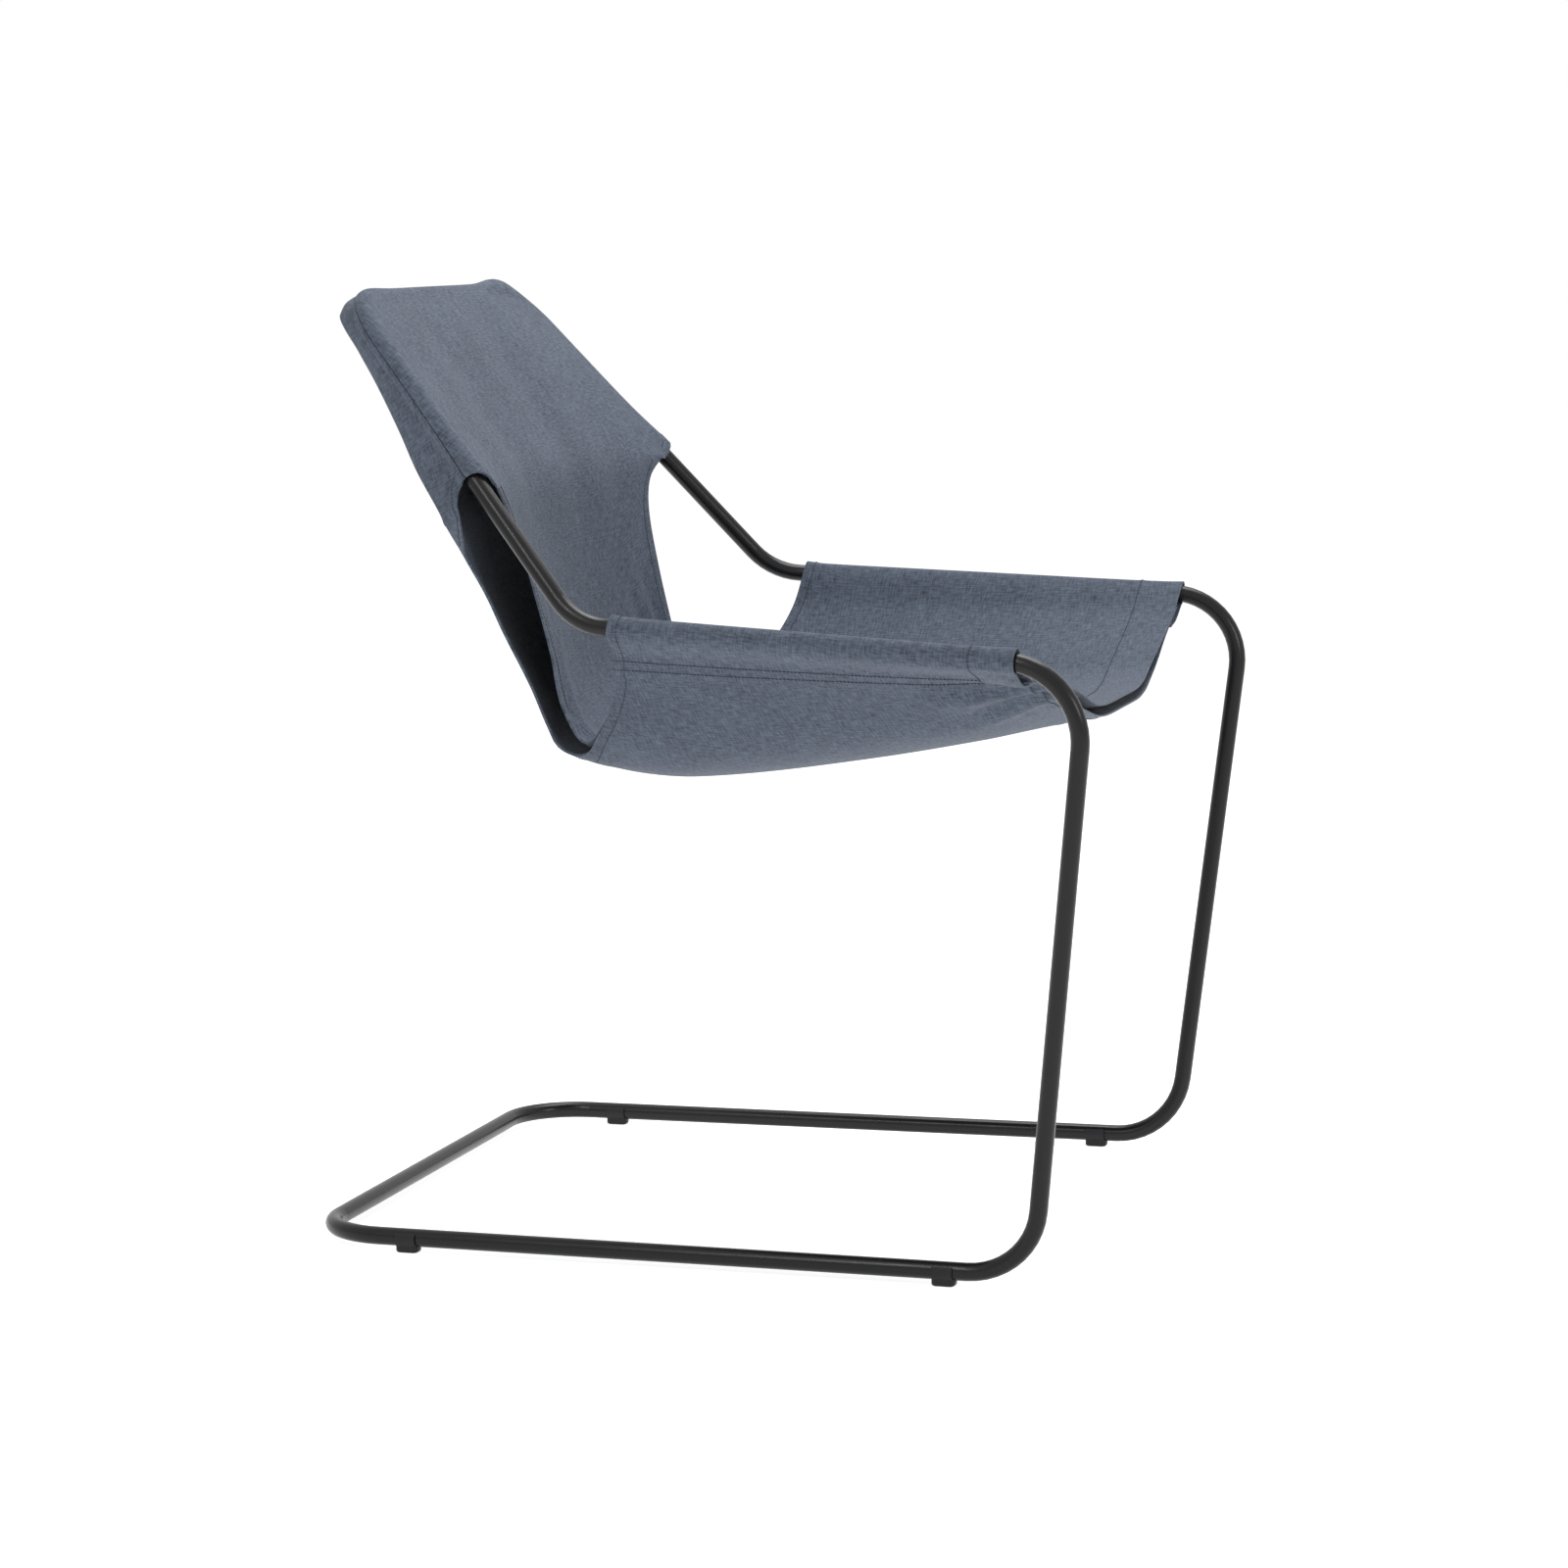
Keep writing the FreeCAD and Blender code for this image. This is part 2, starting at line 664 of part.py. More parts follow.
def check(doc, pieces):
    """Stop if any object failed to build, or any piece is empty or broken."""
    for item in doc.Objects:
        if "Invalid" in item.State or "Error" in item.State:
            raise RuntimeError("%s failed to build: %s" % (item.Label, item.State))
    for piece in pieces:
        if piece.Shape.isNull() or not piece.Shape.isValid():
            raise RuntimeError("%s has no valid shape" % piece.Label)
        if len(piece.Shape.Solids) != 1:
            raise RuntimeError("%s is not one solid" % piece.Label)


def main():
    """Build the chair and write one file per piece."""
    doc = FreeCAD.newDocument("SlingArmchair")
    sheet = spreadsheet(doc)
    frame = Frame(sheet)
    pieces = add_bar(doc, frame)
    for side, hand in ((1, "left"), (-1, "right")):
        pieces.append(add_glide(doc, frame, "glide_front_" + hand, side, True, sheet.front_glide_inset))
        pieces.append(add_glide(doc, frame, "glide_rear_" + hand, side, False, sheet.rear_glide_inset))
    pieces += add_cover(doc, frame)
    doc.recompute()
    check(doc, pieces)
    os.makedirs("parts", exist_ok=True)
    for piece in pieces:
        piece.Shape.exportStep("parts/%s.step" % piece.Label)
        print("%-18s %10.1f mm3" % (piece.Label, piece.Shape.Volume))


main()
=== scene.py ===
"""Dresses the sling armchair: canvas cover, stitching, finishes, studio and camera.

The chair faces -Y, X runs across it and +Z is up.  Shapes are worked out in millimetres, as the part's
own sizes are, and turned into metres when a mesh is made.
"""

from __future__ import annotations

import logging
import math
from collections.abc import Sequence
from dataclasses import dataclass
from enum import Enum

import bpy
import numpy as np
from mathutils import Matrix, Vector


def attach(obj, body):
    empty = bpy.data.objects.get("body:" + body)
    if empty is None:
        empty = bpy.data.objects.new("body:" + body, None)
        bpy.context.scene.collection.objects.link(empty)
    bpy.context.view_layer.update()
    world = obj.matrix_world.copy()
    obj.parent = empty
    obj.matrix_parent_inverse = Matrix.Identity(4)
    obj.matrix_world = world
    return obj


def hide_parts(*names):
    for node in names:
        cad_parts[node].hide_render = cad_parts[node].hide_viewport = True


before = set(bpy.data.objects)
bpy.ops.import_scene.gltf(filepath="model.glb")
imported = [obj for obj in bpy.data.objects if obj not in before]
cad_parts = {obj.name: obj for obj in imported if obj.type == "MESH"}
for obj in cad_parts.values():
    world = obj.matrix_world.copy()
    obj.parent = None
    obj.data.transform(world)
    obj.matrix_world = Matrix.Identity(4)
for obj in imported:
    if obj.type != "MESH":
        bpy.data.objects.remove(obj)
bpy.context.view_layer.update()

MILLIMETRE = 0.001
SHARP_EDGE = math.radians(50.0)
Point = tuple[float, float, float]
Pairs = Sequence[tuple[float, float]]
log = logging.getLogger("sling_armchair")


class Hand(Enum):
    """The two sides of the chair, as the sitter names them."""

    LEFT = 1
    RIGHT = -1

    @property
    def side(self) -> float:
        """The sign of x on this side."""
        return float(self.value)

    @property
    def wing(self) -> str:
        """The name of the grid that covers this side's arm."""
        return "wing_" + self.name.lower()


class Face(Enum):
    """The way a layer's good side looks."""

    SITTER = 1
    OUTSIDE = -1


def ease(start: float, end: float, place: np.ndarray) -> np.ndarray:
    """Return 0 before start, 1 after end and a smooth rise between them."""
    share = np.clip((np.asarray(place, dtype=float) - start) / (end - start), 0.0, 1.0)
    return share * share * (3.0 - 2.0 * share)


def stepped(stops: Pairs, place: np.ndarray) -> np.ndarray:
    """Read a curve that eases from stop to stop and stays level beyond them.

    Args:
        stops: (place, value) pairs in rising order of place.
        place: where to read the curve.

    Returns:
        The value at each place.
    """
    place = np.asarray(place, dtype=float)
    value = np.full(place.shape, float(stops[0][1]))
    for (left, low), (right, high) in zip(stops, stops[1:]):
        value = value + (high - low) * ease(left, right, place)
    return value


def through(pairs: Pairs, place: np.ndarray) -> np.ndarray:
    """Read a smooth curve through (place, value) pairs: cubics with even slopes.

    Args:
        pairs: (place, value) pairs in rising order of place.
        place: where to read the curve; the end cubics run on beyond the pairs.

    Returns:
        The value at each place.
    """
    place = np.asarray(place, dtype=float)
    knots = np.array([pair[0] for pair in pairs])
    values = np.array([pair[1] for pair in pairs])
    last = len(pairs) - 1
    before = np.maximum(np.arange(last + 1) - 1, 0)
    after = np.minimum(np.arange(last + 1) + 1, last)
    slopes = (values[after] - values[before]) / (knots[after] - knots[before])
    index = np.clip(np.searchsorted(knots, place) - 1, 0, last - 1)
    width = knots[index + 1] - knots[index]
    share = (place - knots[index]) / width
    keep = share * share * (3.0 - 2.0 * share)
    lead = share * (1.0 - share) ** 2
    trail = -share * share * (1.0 - share)
    rise = values[index + 1] - values[index]
    return values[index] + rise * keep + width * (slopes[index] * lead + slopes[index + 1] * trail)


def run_lengths(points: np.ndarray, axis: int) -> np.ndarray:
    """Return the running length along one axis of a grid of points, from zero."""
    running = np.cumsum(np.linalg.norm(np.diff(points, axis=axis), axis=-1), axis=axis)
    start = np.zeros_like(np.take(points[..., 0], [0], axis=axis))
    return np.concatenate([start, running], axis=axis)


def path_through(points: list[Point], shares: np.ndarray) -> np.ndarray:
    """Return places on a smooth line through points, at shares of its length.

    Args:
        points: the points that the line passes, in order.
        shares: values from 0 at the first point to 1 at the last.

    Returns:
        One point for each share, as an array of shape (n, 3).
    """
    fine_places = 400
    corners = np.array(points, dtype=float)
    chords = run_lengths(corners, 0)
    fine = np.linspace(0.0, chords[-1], fine_places)
    dense = np.stack([through(list(zip(chords, column)), fine) for column in corners.T], axis=-1)
    lengths = run_lengths(dense, 0)
    wanted = np.asarray(shares) * lengths[-1]
    return np.stack([np.interp(wanted, lengths, column) for column in dense.T], axis=-1)


def unit(vectors: np.ndarray) -> np.ndarray:
    """Return the vectors with length one."""
    return vectors / np.linalg.norm(vectors, axis=-1, keepdims=True)


@dataclass(frozen=True)
class BarLine:
    """The bent bar that carries the cover, by the corners of its straight runs on the left side."""

    bend: float = 65.0
    arm: Point = (350.0, -364.0, 537.0)
    elbow: Point = (296.0, 97.0, 560.0)
    top: Point = (208.0, 333.5, 835.5)
    mouth_share: float = 0.41

    @property
    def back_length(self) -> float:
        """The length of the back's plane from elbow to top rail, seen square to the chair's width."""
        return math.hypot(self.top[1] - self.elbow[1], self.top[2] - self.elbow[2])

    @property
    def up_the_back(self) -> np.ndarray:
        """The direction up the back's plane."""
        rise = np.array([0.0, self.top[1] - self.elbow[1], self.top[2] - self.elbow[2]])
        return rise / self.back_length

    @property
    def facing(self) -> np.ndarray:
        """The direction out of the back's plane, forwards and up."""
        up = self.up_the_back
        return np.array([0.0, -up[2], up[1]])

    def arm_axis(self, y: np.ndarray) -> tuple[np.ndarray, np.ndarray]:
        """Return x and z of the left arm's axis.

        Args:
            y: places along the chair.

        Returns:
            The axis's x and its z at each place.
        """
        share = (np.asarray(y, dtype=float) - self.arm[1]) / (self.elbow[1] - self.arm[1])
        x = self.arm[0] + (self.elbow[0] - self.arm[0]) * share
        z = self.arm[2] + (self.elbow[2] - self.arm[2]) * share
        return x, z

    def on_back(self, x: np.ndarray, up: np.ndarray, out: np.ndarray) -> np.ndarray:
        """Return points given across, up and out of the back's plane.

        Args:
            x: distance across the chair.
            up: distance up the plane from the elbow.
            out: distance out of the plane, towards the sitter.

        Returns:
            Points in the chair's frame, with the coordinates last.
        """
        x, up, out = np.broadcast_arrays(x, up, out)
        y = self.elbow[1] + self.up_the_back[1] * up + self.facing[1] * out
        z = self.elbow[2] + self.up_the_back[2] * up + self.facing[2] * out
        return np.stack([x, y, z], axis=-1)

    def left_side(self) -> tuple[np.ndarray, np.ndarray, float, float, float]:
        """Return the bar's left side in the back's plane, above the pocket's mouth.

        Returns:
            The mouth's place, the direction up from it, the length of the straight run, the angle that the
            corner turns through, and how far before the corner's point the bend begins.
        """
        low = np.array([self.elbow[0], 0.0])
        corner = np.array([self.top[0], self.back_length])
        run = unit(corner - low)
        turn = math.pi / 2 - math.atan2(-run[0], run[1])
        reach = self.bend * math.tan(turn / 2)
        mouth = low + (corner - low) * self.mouth_share
        return mouth, run, np.linalg.norm(corner - mouth) - reach, turn, reach

    def outline(self, along: np.ndarray) -> tuple[np.ndarray, np.ndarray]:
        """Return the bar's outline in the back's plane, from the pocket's mouth to the top's middle.

        Args:
            along: length of bar above the mouth on the left side.

        Returns:
            In-plane places (across, up) and the outward directions there.
        """
        along = np.asarray(along, dtype=float)
        mouth, run, straight, turn, _ = self.left_side()
        out = np.array([run[1], -run[0]])
        centre = mouth + run * straight - out * self.bend
        arc = self.bend * turn
        angle = np.clip(along - straight, 0.0, arc) / self.bend
        outward = out * np.cos(angle)[..., None] + run * np.sin(angle)[..., None]
        places = centre + outward * self.bend
        places = places + run * (np.minimum(along - straight, 0.0))[..., None]
        places = places + np.array([-1.0, 0.0]) * (np.maximum(along - straight - arc, 0.0))[..., None]
        return places, outward

    def outline_lengths(self) -> tuple[float, float]:
        """Return the lengths from the mouth to the middle of the corner's arc and to the top's middle."""
        _, _, straight, turn, reach = self.left_side()
        arc = self.bend * turn
        return straight + arc / 2, straight + arc + self.top[0] - reach


@dataclass(frozen=True)
class Hammock:
    """The seat between the arms: a middle surface that both layers keep their distance from."""

    bar: BarLine = BarLine()
    front: float = -303.0
    sleeve_rear: float = 60.0
    cut_out_depth: float = 80.0
    cut_out_place: float = 0.722
    cut_out_sharpness: int = 9
    near_lift: float = 13.0
    near_place: float = -0.6
    near_width: float = 0.22
    near_reach: float = 0.22
    wall_slope: float = 2.27
    wall_foot: float = 0.72
    floor_shape: Pairs = ((0.0, 1.0), (0.35, 1.0), (0.62, 0.88), (0.83, 0.59), (1.0, 0.0))
    drops: Pairs = ((-303.0, 69.5), (-117.0, 115.5), (51.0, 146.0), (140.0, 145.0))
    front_bow: Pairs = (
        (-1.0, 0.0),
        (-0.85, 2.0),
        (-0.7, 13.0),
        (-0.5, 18.0),
        (-0.2, 16.0),
        (0.2, 12.0),
        (0.4, 5.0),
        (0.6, -2.5),
        (0.72, -2.2),
        (0.85, -1.0),
        (1.0, 0.0),
    )

    @property
    def sleeve_length(self) -> float:
        """The length of an arm's sleeve along the chair."""
        return self.sleeve_rear - self.front

    def profile(self, across: np.ndarray) -> np.ndarray:
        """Return the share of the drop across the seat: a flat floor that turns up into straight walls.

        Args:
            across: from -1 at the right arm to 1 at the left arm.

        Returns:
            The share, from 0 at the arms to 1 in the middle.
        """
        wall_top = self.wall_slope * (1.0 - self.wall_foot)
        rest = 1.0 - wall_top
        floor = [(self.wall_foot * place, wall_top + rest * share) for place, share in self.floor_shape]
        return through([*floor, (1.0, 0.0)], np.abs(across))

    def rear_edge(self, across: np.ndarray) -> np.ndarray:
        """Return how far back the cloth reaches: short at the arms, long between the cut-outs."""
        narrowing = (np.abs(across) / self.cut_out_place) ** self.cut_out_sharpness
        return self.sleeve_rear + self.cut_out_depth / (1.0 + narrowing)

    def middle(self, across: np.ndarray, along: np.ndarray) -> np.ndarray:
        """Return points between the two layers.

        Args:
            across: from -1 at the right arm to 1 at the left arm.
            along: from 0 at the front edge to 1 at the rear edge.

        Returns:
            Points with the coordinates last.
        """
        across, along = np.broadcast_arrays(np.asarray(across, dtype=float), np.asarray(along, dtype=float))
        front = self.front - through(self.front_bow, across)
        y = front + (self.rear_edge(across) - front) * along
        axis_x, axis_z = self.bar.arm_axis(y)
        drop = through(self.drops, y)
        # the near front corner rides up, where its flap has come loose
        near = np.exp(-(((across - self.near_place) / self.near_width) ** 2))
        lift = self.near_lift * near * (1.0 - ease(0.0, self.near_reach, along))
        z = axis_z - drop * self.profile(across) + lift
        return np.stack([across * axis_x, y, z], axis=-1)

    def normal(self, across: np.ndarray, along: np.ndarray) -> np.ndarray:
        """Return the directions out of the seat towards the sitter.

        Args:
            across: from -1 at the right arm to 1 at the left arm.
            along: from 0 at the front edge to 1 at the rear edge.

        Returns:
            Directions of length one.
        """
        step = 0.01
        leftward = self.middle(across + step, along) - self.middle(across - step, along)
        rearward = self.middle(across, along + step) - self.middle(across, along - step)
        return unit(np.cross(leftward, rearward))

    def offset(self, across: np.ndarray, along: np.ndarray, distance: np.ndarray) -> np.ndarray:
        """Return points at a distance above the middle surface."""
        return self.middle(across, along) + self.normal(across, along) * np.asarray(distance)[..., None]

    def slack(self, along: np.ndarray) -> np.ndarray:
        """Return the length of cloth for a whole step of across, next to the arms."""
        y = self.front + (self.rear_edge(1.0) - self.front) * np.asarray(along, dtype=float)
        axis_x, _ = self.bar.arm_axis(y)
        return np.hypot(axis_x, self.wall_slope * through(self.drops, y))


class ClothMesh:
    """Gathers grids of points into one seamless sheet with a flat pattern for its weave."""

    def __init__(self) -> None:
        """Start with no points."""
        self.points: list[np.ndarray] = []
        self.pattern: list[np.ndarray] = []
        self.hems: list[np.ndarray] = []
        self.faces: list[tuple[int, int, int, int]] = []
        self.count = 0

    def add(
        self,
        points: np.ndarray,
        pattern: np.ndarray,
        hem: np.ndarray,
        turned: bool = False,
        first: np.ndarray | None = None,
    ) -> np.ndarray:
        """Add a grid, which may share its first column with a grid added before.

        Args:
            points: places of shape (rows, columns, 3).
            pattern: places in the flat cloth of shape (rows, columns, 2), in millimetres.
            hem: distance to the nearest hemmed edge of shape (rows, columns).
            turned: True to turn the faces round.
            first: indices of points that stand for the first column.

        Returns:
            The index of each of the grid's points.
        """
        rows, columns = points.shape[:2]
        start = 0 if first is None else 1
        made = np.arange(rows * (columns - start)).reshape(rows, columns - start) + self.count
        self.points.append(points[:, start:].reshape(-1, 3))
        self.pattern.append(pattern[:, start:].reshape(-1, 2))
        self.hems.append(hem[:, start:].reshape(-1))
        self.count += made.size
        index = made if first is None else np.concatenate([first[:, None], made], axis=1)
        corners = (index[:-1, :-1], index[:-1, 1:], index[1:, 1:], index[1:, :-1])
        if turned:
            corners = corners[::-1]
        self.faces += list(zip(*(corner.ravel().tolist() for corner in corners)))
        return index

    def arrays(self) -> tuple[np.ndarray, np.ndarray, np.ndarray, np.ndarray]:
        """Return all points, pattern places, hem distances and faces as arrays."""
        return (
            np.concatenate(self.points),
            np.concatenate(self.pattern),
            np.concatenate(self.hems),
            np.array(self.faces),
        )


def face_spans(points: np.ndarray, faces: np.ndarray) -> np.ndarray:
    """Return a vector along each face's normal, as long as twice the face's area."""
    first, second, third, fourth = (points[faces[:, corner]] for corner in range(4))
    return np.cross(third - first, fourth - second)


def point_normals(points: np.ndarray, faces: np.ndarray) -> np.ndarray:
    """Return each point's normal as the mean of its faces.

    Args:
        points: the sheet's points.
        faces: its faces, with four corners each.

    Returns:
        Directions of length one.
    """
    spans = face_spans(points, faces)
    normals = np.zeros_like(points)
    for corner in range(4):
        np.add.at(normals, faces[:, corner], spans)
    return unit(normals)


def sheet_area(points: np.ndarray, faces: np.ndarray) -> float:
    """Return the area of a sheet in square metres, from points in millimetres."""
    return float(np.linalg.norm(face_spans(points, faces), axis=1).sum() / 2.0) * MILLIMETRE**2


def joined(faces: np.ndarray, count: int) -> tuple[np.ndarray, np.ndarray]:
    """Return each point and its neighbours as pairs; a point on the sheet's rim has only those on the rim.

    Args:
        faces: the sheet's faces, with four corners each.
        count: the number of points.

    Returns:
        The points, and a neighbour of each.
    """
    sides = np.concatenate([faces[:, [corner, (corner + 1) % 4]] for corner in range(4)])
    pairs, uses = np.unique(np.sort(sides, axis=1), axis=0, return_counts=True)
    on_rim = np.zeros(count, dtype=bool)
    on_rim[pairs[uses == 1]] = True
    near = np.concatenate([pairs[:, 0], pairs[:, 1]])
    far = np.concatenate([pairs[:, 1], pairs[:, 0]])
    kept = ~on_rim[near] | (np.concatenate([uses, uses]) == 1)
    return near[kept], far[kept]


def new_object(name: str, mesh: bpy.types.Mesh) -> bpy.types.Object:
    """Return a new object at the origin in the scene's own collection."""
    piece = bpy.data.objects.new(name, mesh)
    bpy.context.scene.collection.objects.link(piece)
    return piece


def plain_mesh(piece: bpy.types.Object) -> None:
    """Turn an object's evaluated shape into its own plain mesh and drop its modifiers.

    Args:
        piece: the object.
    """
    depsgraph = bpy.context.evaluated_depsgraph_get()
    mesh = bpy.data.meshes.new_from_object(piece.evaluated_get(depsgraph))
    piece.modifiers.clear()
    rough = piece.data
    piece.data = mesh
    mesh.name = piece.name
    bpy.data.meshes.remove(rough)


def thicken(piece: bpy.types.Object, thickness: float, group: str = "", back_slot: int = 0) -> None:
    """Give a sheet its thickness, half to each side, as a plain mesh.

    Args:
        piece: the sheet.
        thickness: its thickness in millimetres.
        group: the vertex group that thins it, if there is one.
        back_slot: the material slot of its back.
    """
    wall = piece.modifiers.new("cloth", "SOLIDIFY")
    wall.thickness = thickness * MILLIMETRE
    wall.offset = 0.0
    wall.vertex_group = group
    wall.material_offset = back_slot
    plain_mesh(piece)
    piece.data.set_sharp_from_angle(angle=SHARP_EDGE)


def cloth_object(name: str, points: np.ndarray, pattern: np.ndarray, faces: np.ndarray) -> bpy.types.Object:
    """Make a smooth sheet without thickness.

    Args:
        name: the piece's name.
        points: its points in millimetres.
        pattern: each point's place in the flat cloth, in millimetres.
        faces: its faces, with four corners each.

    Returns:
        The object, with its flat pattern as a UV map.
    """
    mesh = bpy.data.meshes.new(name)
    mesh.from_pydata((points * MILLIMETRE).tolist(), [], faces.tolist())
    corners = np.zeros(len(mesh.loops), dtype=np.int32)
    mesh.loops.foreach_get("vertex_index", corners)
    layer = mesh.uv_layers.new(name="pattern")
    layer.data.foreach_set("uv", (pattern * MILLIMETRE)[corners].astype(np.float32).ravel())
    mesh.polygons.foreach_set("use_smooth", np.ones(len(mesh.polygons), dtype=bool))
    return new_object(name, mesh)


class Nodes:
    """Adds nodes to a tree and links them, so that a finish reads from input to output."""

    def __init__(self, tree: bpy.types.NodeTree) -> None:
        """Keep the tree that the nodes go into."""
        self.tree = tree

    def add(self, kind: str, inputs: dict[str, object] | None = None, **settings: object) -> bpy.types.Node:
        """Add a node.

        Args:
            kind: the node's type.
            inputs: links or fixed values for its inputs, by name.
            settings: its properties, by name.

        Returns:
            The new node.
        """
        node = self.tree.nodes.new(kind)
        for name, value in settings.items():
            setattr(node, name, value)
        self.fill(node, inputs or {})
        return node

    def feed(self, socket: bpy.types.NodeSocket, value: object) -> None:
        """Give a socket a link or a fixed value."""
        if isinstance(value, bpy.types.NodeSocket):
            self.tree.links.new(value, socket)
        elif value is not None:
            socket.default_value = value

    def fill(self, node: bpy.types.Node, inputs: dict[str, object]) -> None:
        """Give a node's inputs links or fixed values by name."""
        for name, value in inputs.items():
            self.feed(node.inputs[name], value)

    def math(self, operation: str, first: object, second: object = None) -> bpy.types.NodeSocket:
        """Return the result of a sum on sockets or numbers."""
        node = self.add("ShaderNodeMath", operation=operation)
        for socket, value in zip(node.inputs, (first, second)):
            self.feed(socket, value)
        return node.outputs[0]

    def noise(self, place: bpy.types.NodeSocket, scale: Point, detail: float) -> bpy.types.NodeSocket:
        """Return noise.

        Args:
            place: where it is read.
            scale: how far the place is stretched on each axis.
            detail: how many finer layers it has.

        Returns:
            The noise, from 0 to 1.
        """
        stretch = self.add("ShaderNodeVectorMath", operation="MULTIPLY")
        self.feed(stretch.inputs[0], place)
        self.feed(stretch.inputs[1], scale)
        given = {"Scale": 1.0, "Detail": detail, "Vector": stretch.outputs[0]}
        return self.add("ShaderNodeTexNoise", given).outputs["Fac"]

    def spread(self, noise: bpy.types.NodeSocket, most: float) -> bpy.types.NodeSocket:
        """Return noise, which keeps mostly to its middle half, spread evenly about zero."""
        given = {"Value": noise, "From Min": 0.25, "From Max": 0.75, "To Min": -most, "To Max": most}
        return self.add("ShaderNodeMapRange", given).outputs["Result"]

    def bump(self, height: bpy.types.NodeSocket, strength: float, depth: float) -> bpy.types.NodeSocket:
        """Return the normal of a surface that a height roughens."""
        given = {"Height": height, "Strength": strength, "Distance": depth}
        return self.add("ShaderNodeBump", given).outputs["Normal"]


def new_group(
    name: str, kind: str, inputs: dict[str, str], outputs: dict[str, str]
) -> tuple[Nodes, bpy.types.Node, bpy.types.Node]:
    """Make a node group with named sockets.

    Args:
        name: the group's name.
        kind: the type of its tree.
        inputs: kinds of socket by name.
        outputs: kinds of socket by name.

    Returns:
        The group's nodes helper, its input node and its output node.
    """
    tree = bpy.data.node_groups.new(name, kind)
    for way, sockets in (("INPUT", inputs), ("OUTPUT", outputs)):
        for label, socket in sockets.items():
            tree.interface.new_socket(name=label, in_out=way, socket_type="NodeSocket" + socket)
    nodes = Nodes(tree)
    return nodes, nodes.add("NodeGroupInput"), nodes.add("NodeGroupOutput")


def woven_group() -> bpy.types.NodeTree:
    """Make the group that gives heathered yarn, read from the flat pattern.

    Returns:
        A group that gives a tone, with painted shade along the hems, and a height.
    """
    nodes, given, made = new_group(
        "woven_yarn",
        "ShaderNodeTree",
        {"Pattern": "Vector", "Yarn": "Float", "Hem": "Float"},
        {"Tone": "Float", "Height": "Float"},
    )
    pattern, yarn, hem = (given.outputs[name] for name in ("Pattern", "Yarn", "Hem"))
    # slubs: short lengths of paler and darker yarn along the warp and the weft, and wide soft clouds
    thin, long, wide, detail = 620.0, 95.0, 21.0, 3.0
    # the last of these sets how far painted shade darkens the tone along the hems
    contrast, clouds, hem_shade_depth = 0.4, 0.09, 0.05
    warp = nodes.spread(nodes.noise(pattern, (thin, long, 1.0), detail), contrast)
    weft = nodes.spread(nodes.noise(pattern, (long, thin, 1.0), detail), contrast)
    cloudy = nodes.spread(nodes.noise(pattern, (wide, wide, 1.0), detail), clouds)
    fleck = nodes.math("ADD", warp, weft)
    tone = nodes.math("ADD", nodes.math("ADD", 1.0, fleck), cloudy)
    # painted shade: the tone darkens along the hems, for the shade in the puckers and grooves by the stitches
    painted_hem_shade = nodes.math("MULTIPLY", hem, hem_shade_depth)
    # plain weave: crowns of yarn over and under, and slubs that stand up
    crown_height, slub_height, pucker_height = 0.35, 2.0, 5.0
    split = nodes.add("ShaderNodeSeparateXYZ", {"Vector": pattern})
    turns = nodes.math("DIVIDE", math.pi, yarn)
    over, under = (nodes.math("SINE", nodes.math("MULTIPLY", split.outputs[axis], turns)) for axis in "XY")
    crown = nodes.math("MULTIPLY", nodes.math("MULTIPLY", over, under), crown_height)
    slub = nodes.math("ADD", nodes.math("MULTIPLY", fleck, slub_height), crown)
    # hems pucker where they are sewn
    fine = 170.0
    pucker = nodes.noise(pattern, (fine, fine, 1.0), 1.0)
    puckered = nodes.math("MULTIPLY", nodes.math("MULTIPLY", pucker, hem), pucker_height)
    heights = nodes.math("ADD", slub, puckered)
    nodes.fill(made, {"Tone": nodes.math("SUBTRACT", tone, painted_hem_shade), "Height": heights})
    return nodes.tree


def grain_group() -> bpy.types.NodeTree:
    """Make the group that gives a fine moulded or sprayed grain.

    Returns:
        A group that gives a height and a roughness.
    """
    nodes, given, made = new_group(
        "fine_grain",
        "ShaderNodeTree",
        {"Place": "Vector", "Smooth": "Float", "Uneven": "Float"},
        {"Height": "Float", "Roughness": "Float"},
    )
    fine, wide, detail = 900.0, 45.0, 2.0
    place = given.outputs["Place"]
    peel = nodes.noise(place, (fine, fine, fine), detail)
    patches = nodes.spread(nodes.noise(place, (wide, wide, wide), detail), 1.0)
    uneven = nodes.math("MULTIPLY", patches, given.outputs["Uneven"])
    nodes.fill(made, {"Height": peel, "Roughness": nodes.math("ADD", given.outputs["Smooth"], uneven)})
    return nodes.tree


def new_material(name: str) -> tuple[bpy.types.Material, Nodes, bpy.types.Node]:
    """Return a new material, its nodes helper and its surface shader."""
    material = bpy.data.materials.new(name)
    material.use_nodes = True
    nodes = Nodes(material.node_tree)
    return material, nodes, material.node_tree.nodes["Principled BSDF"]


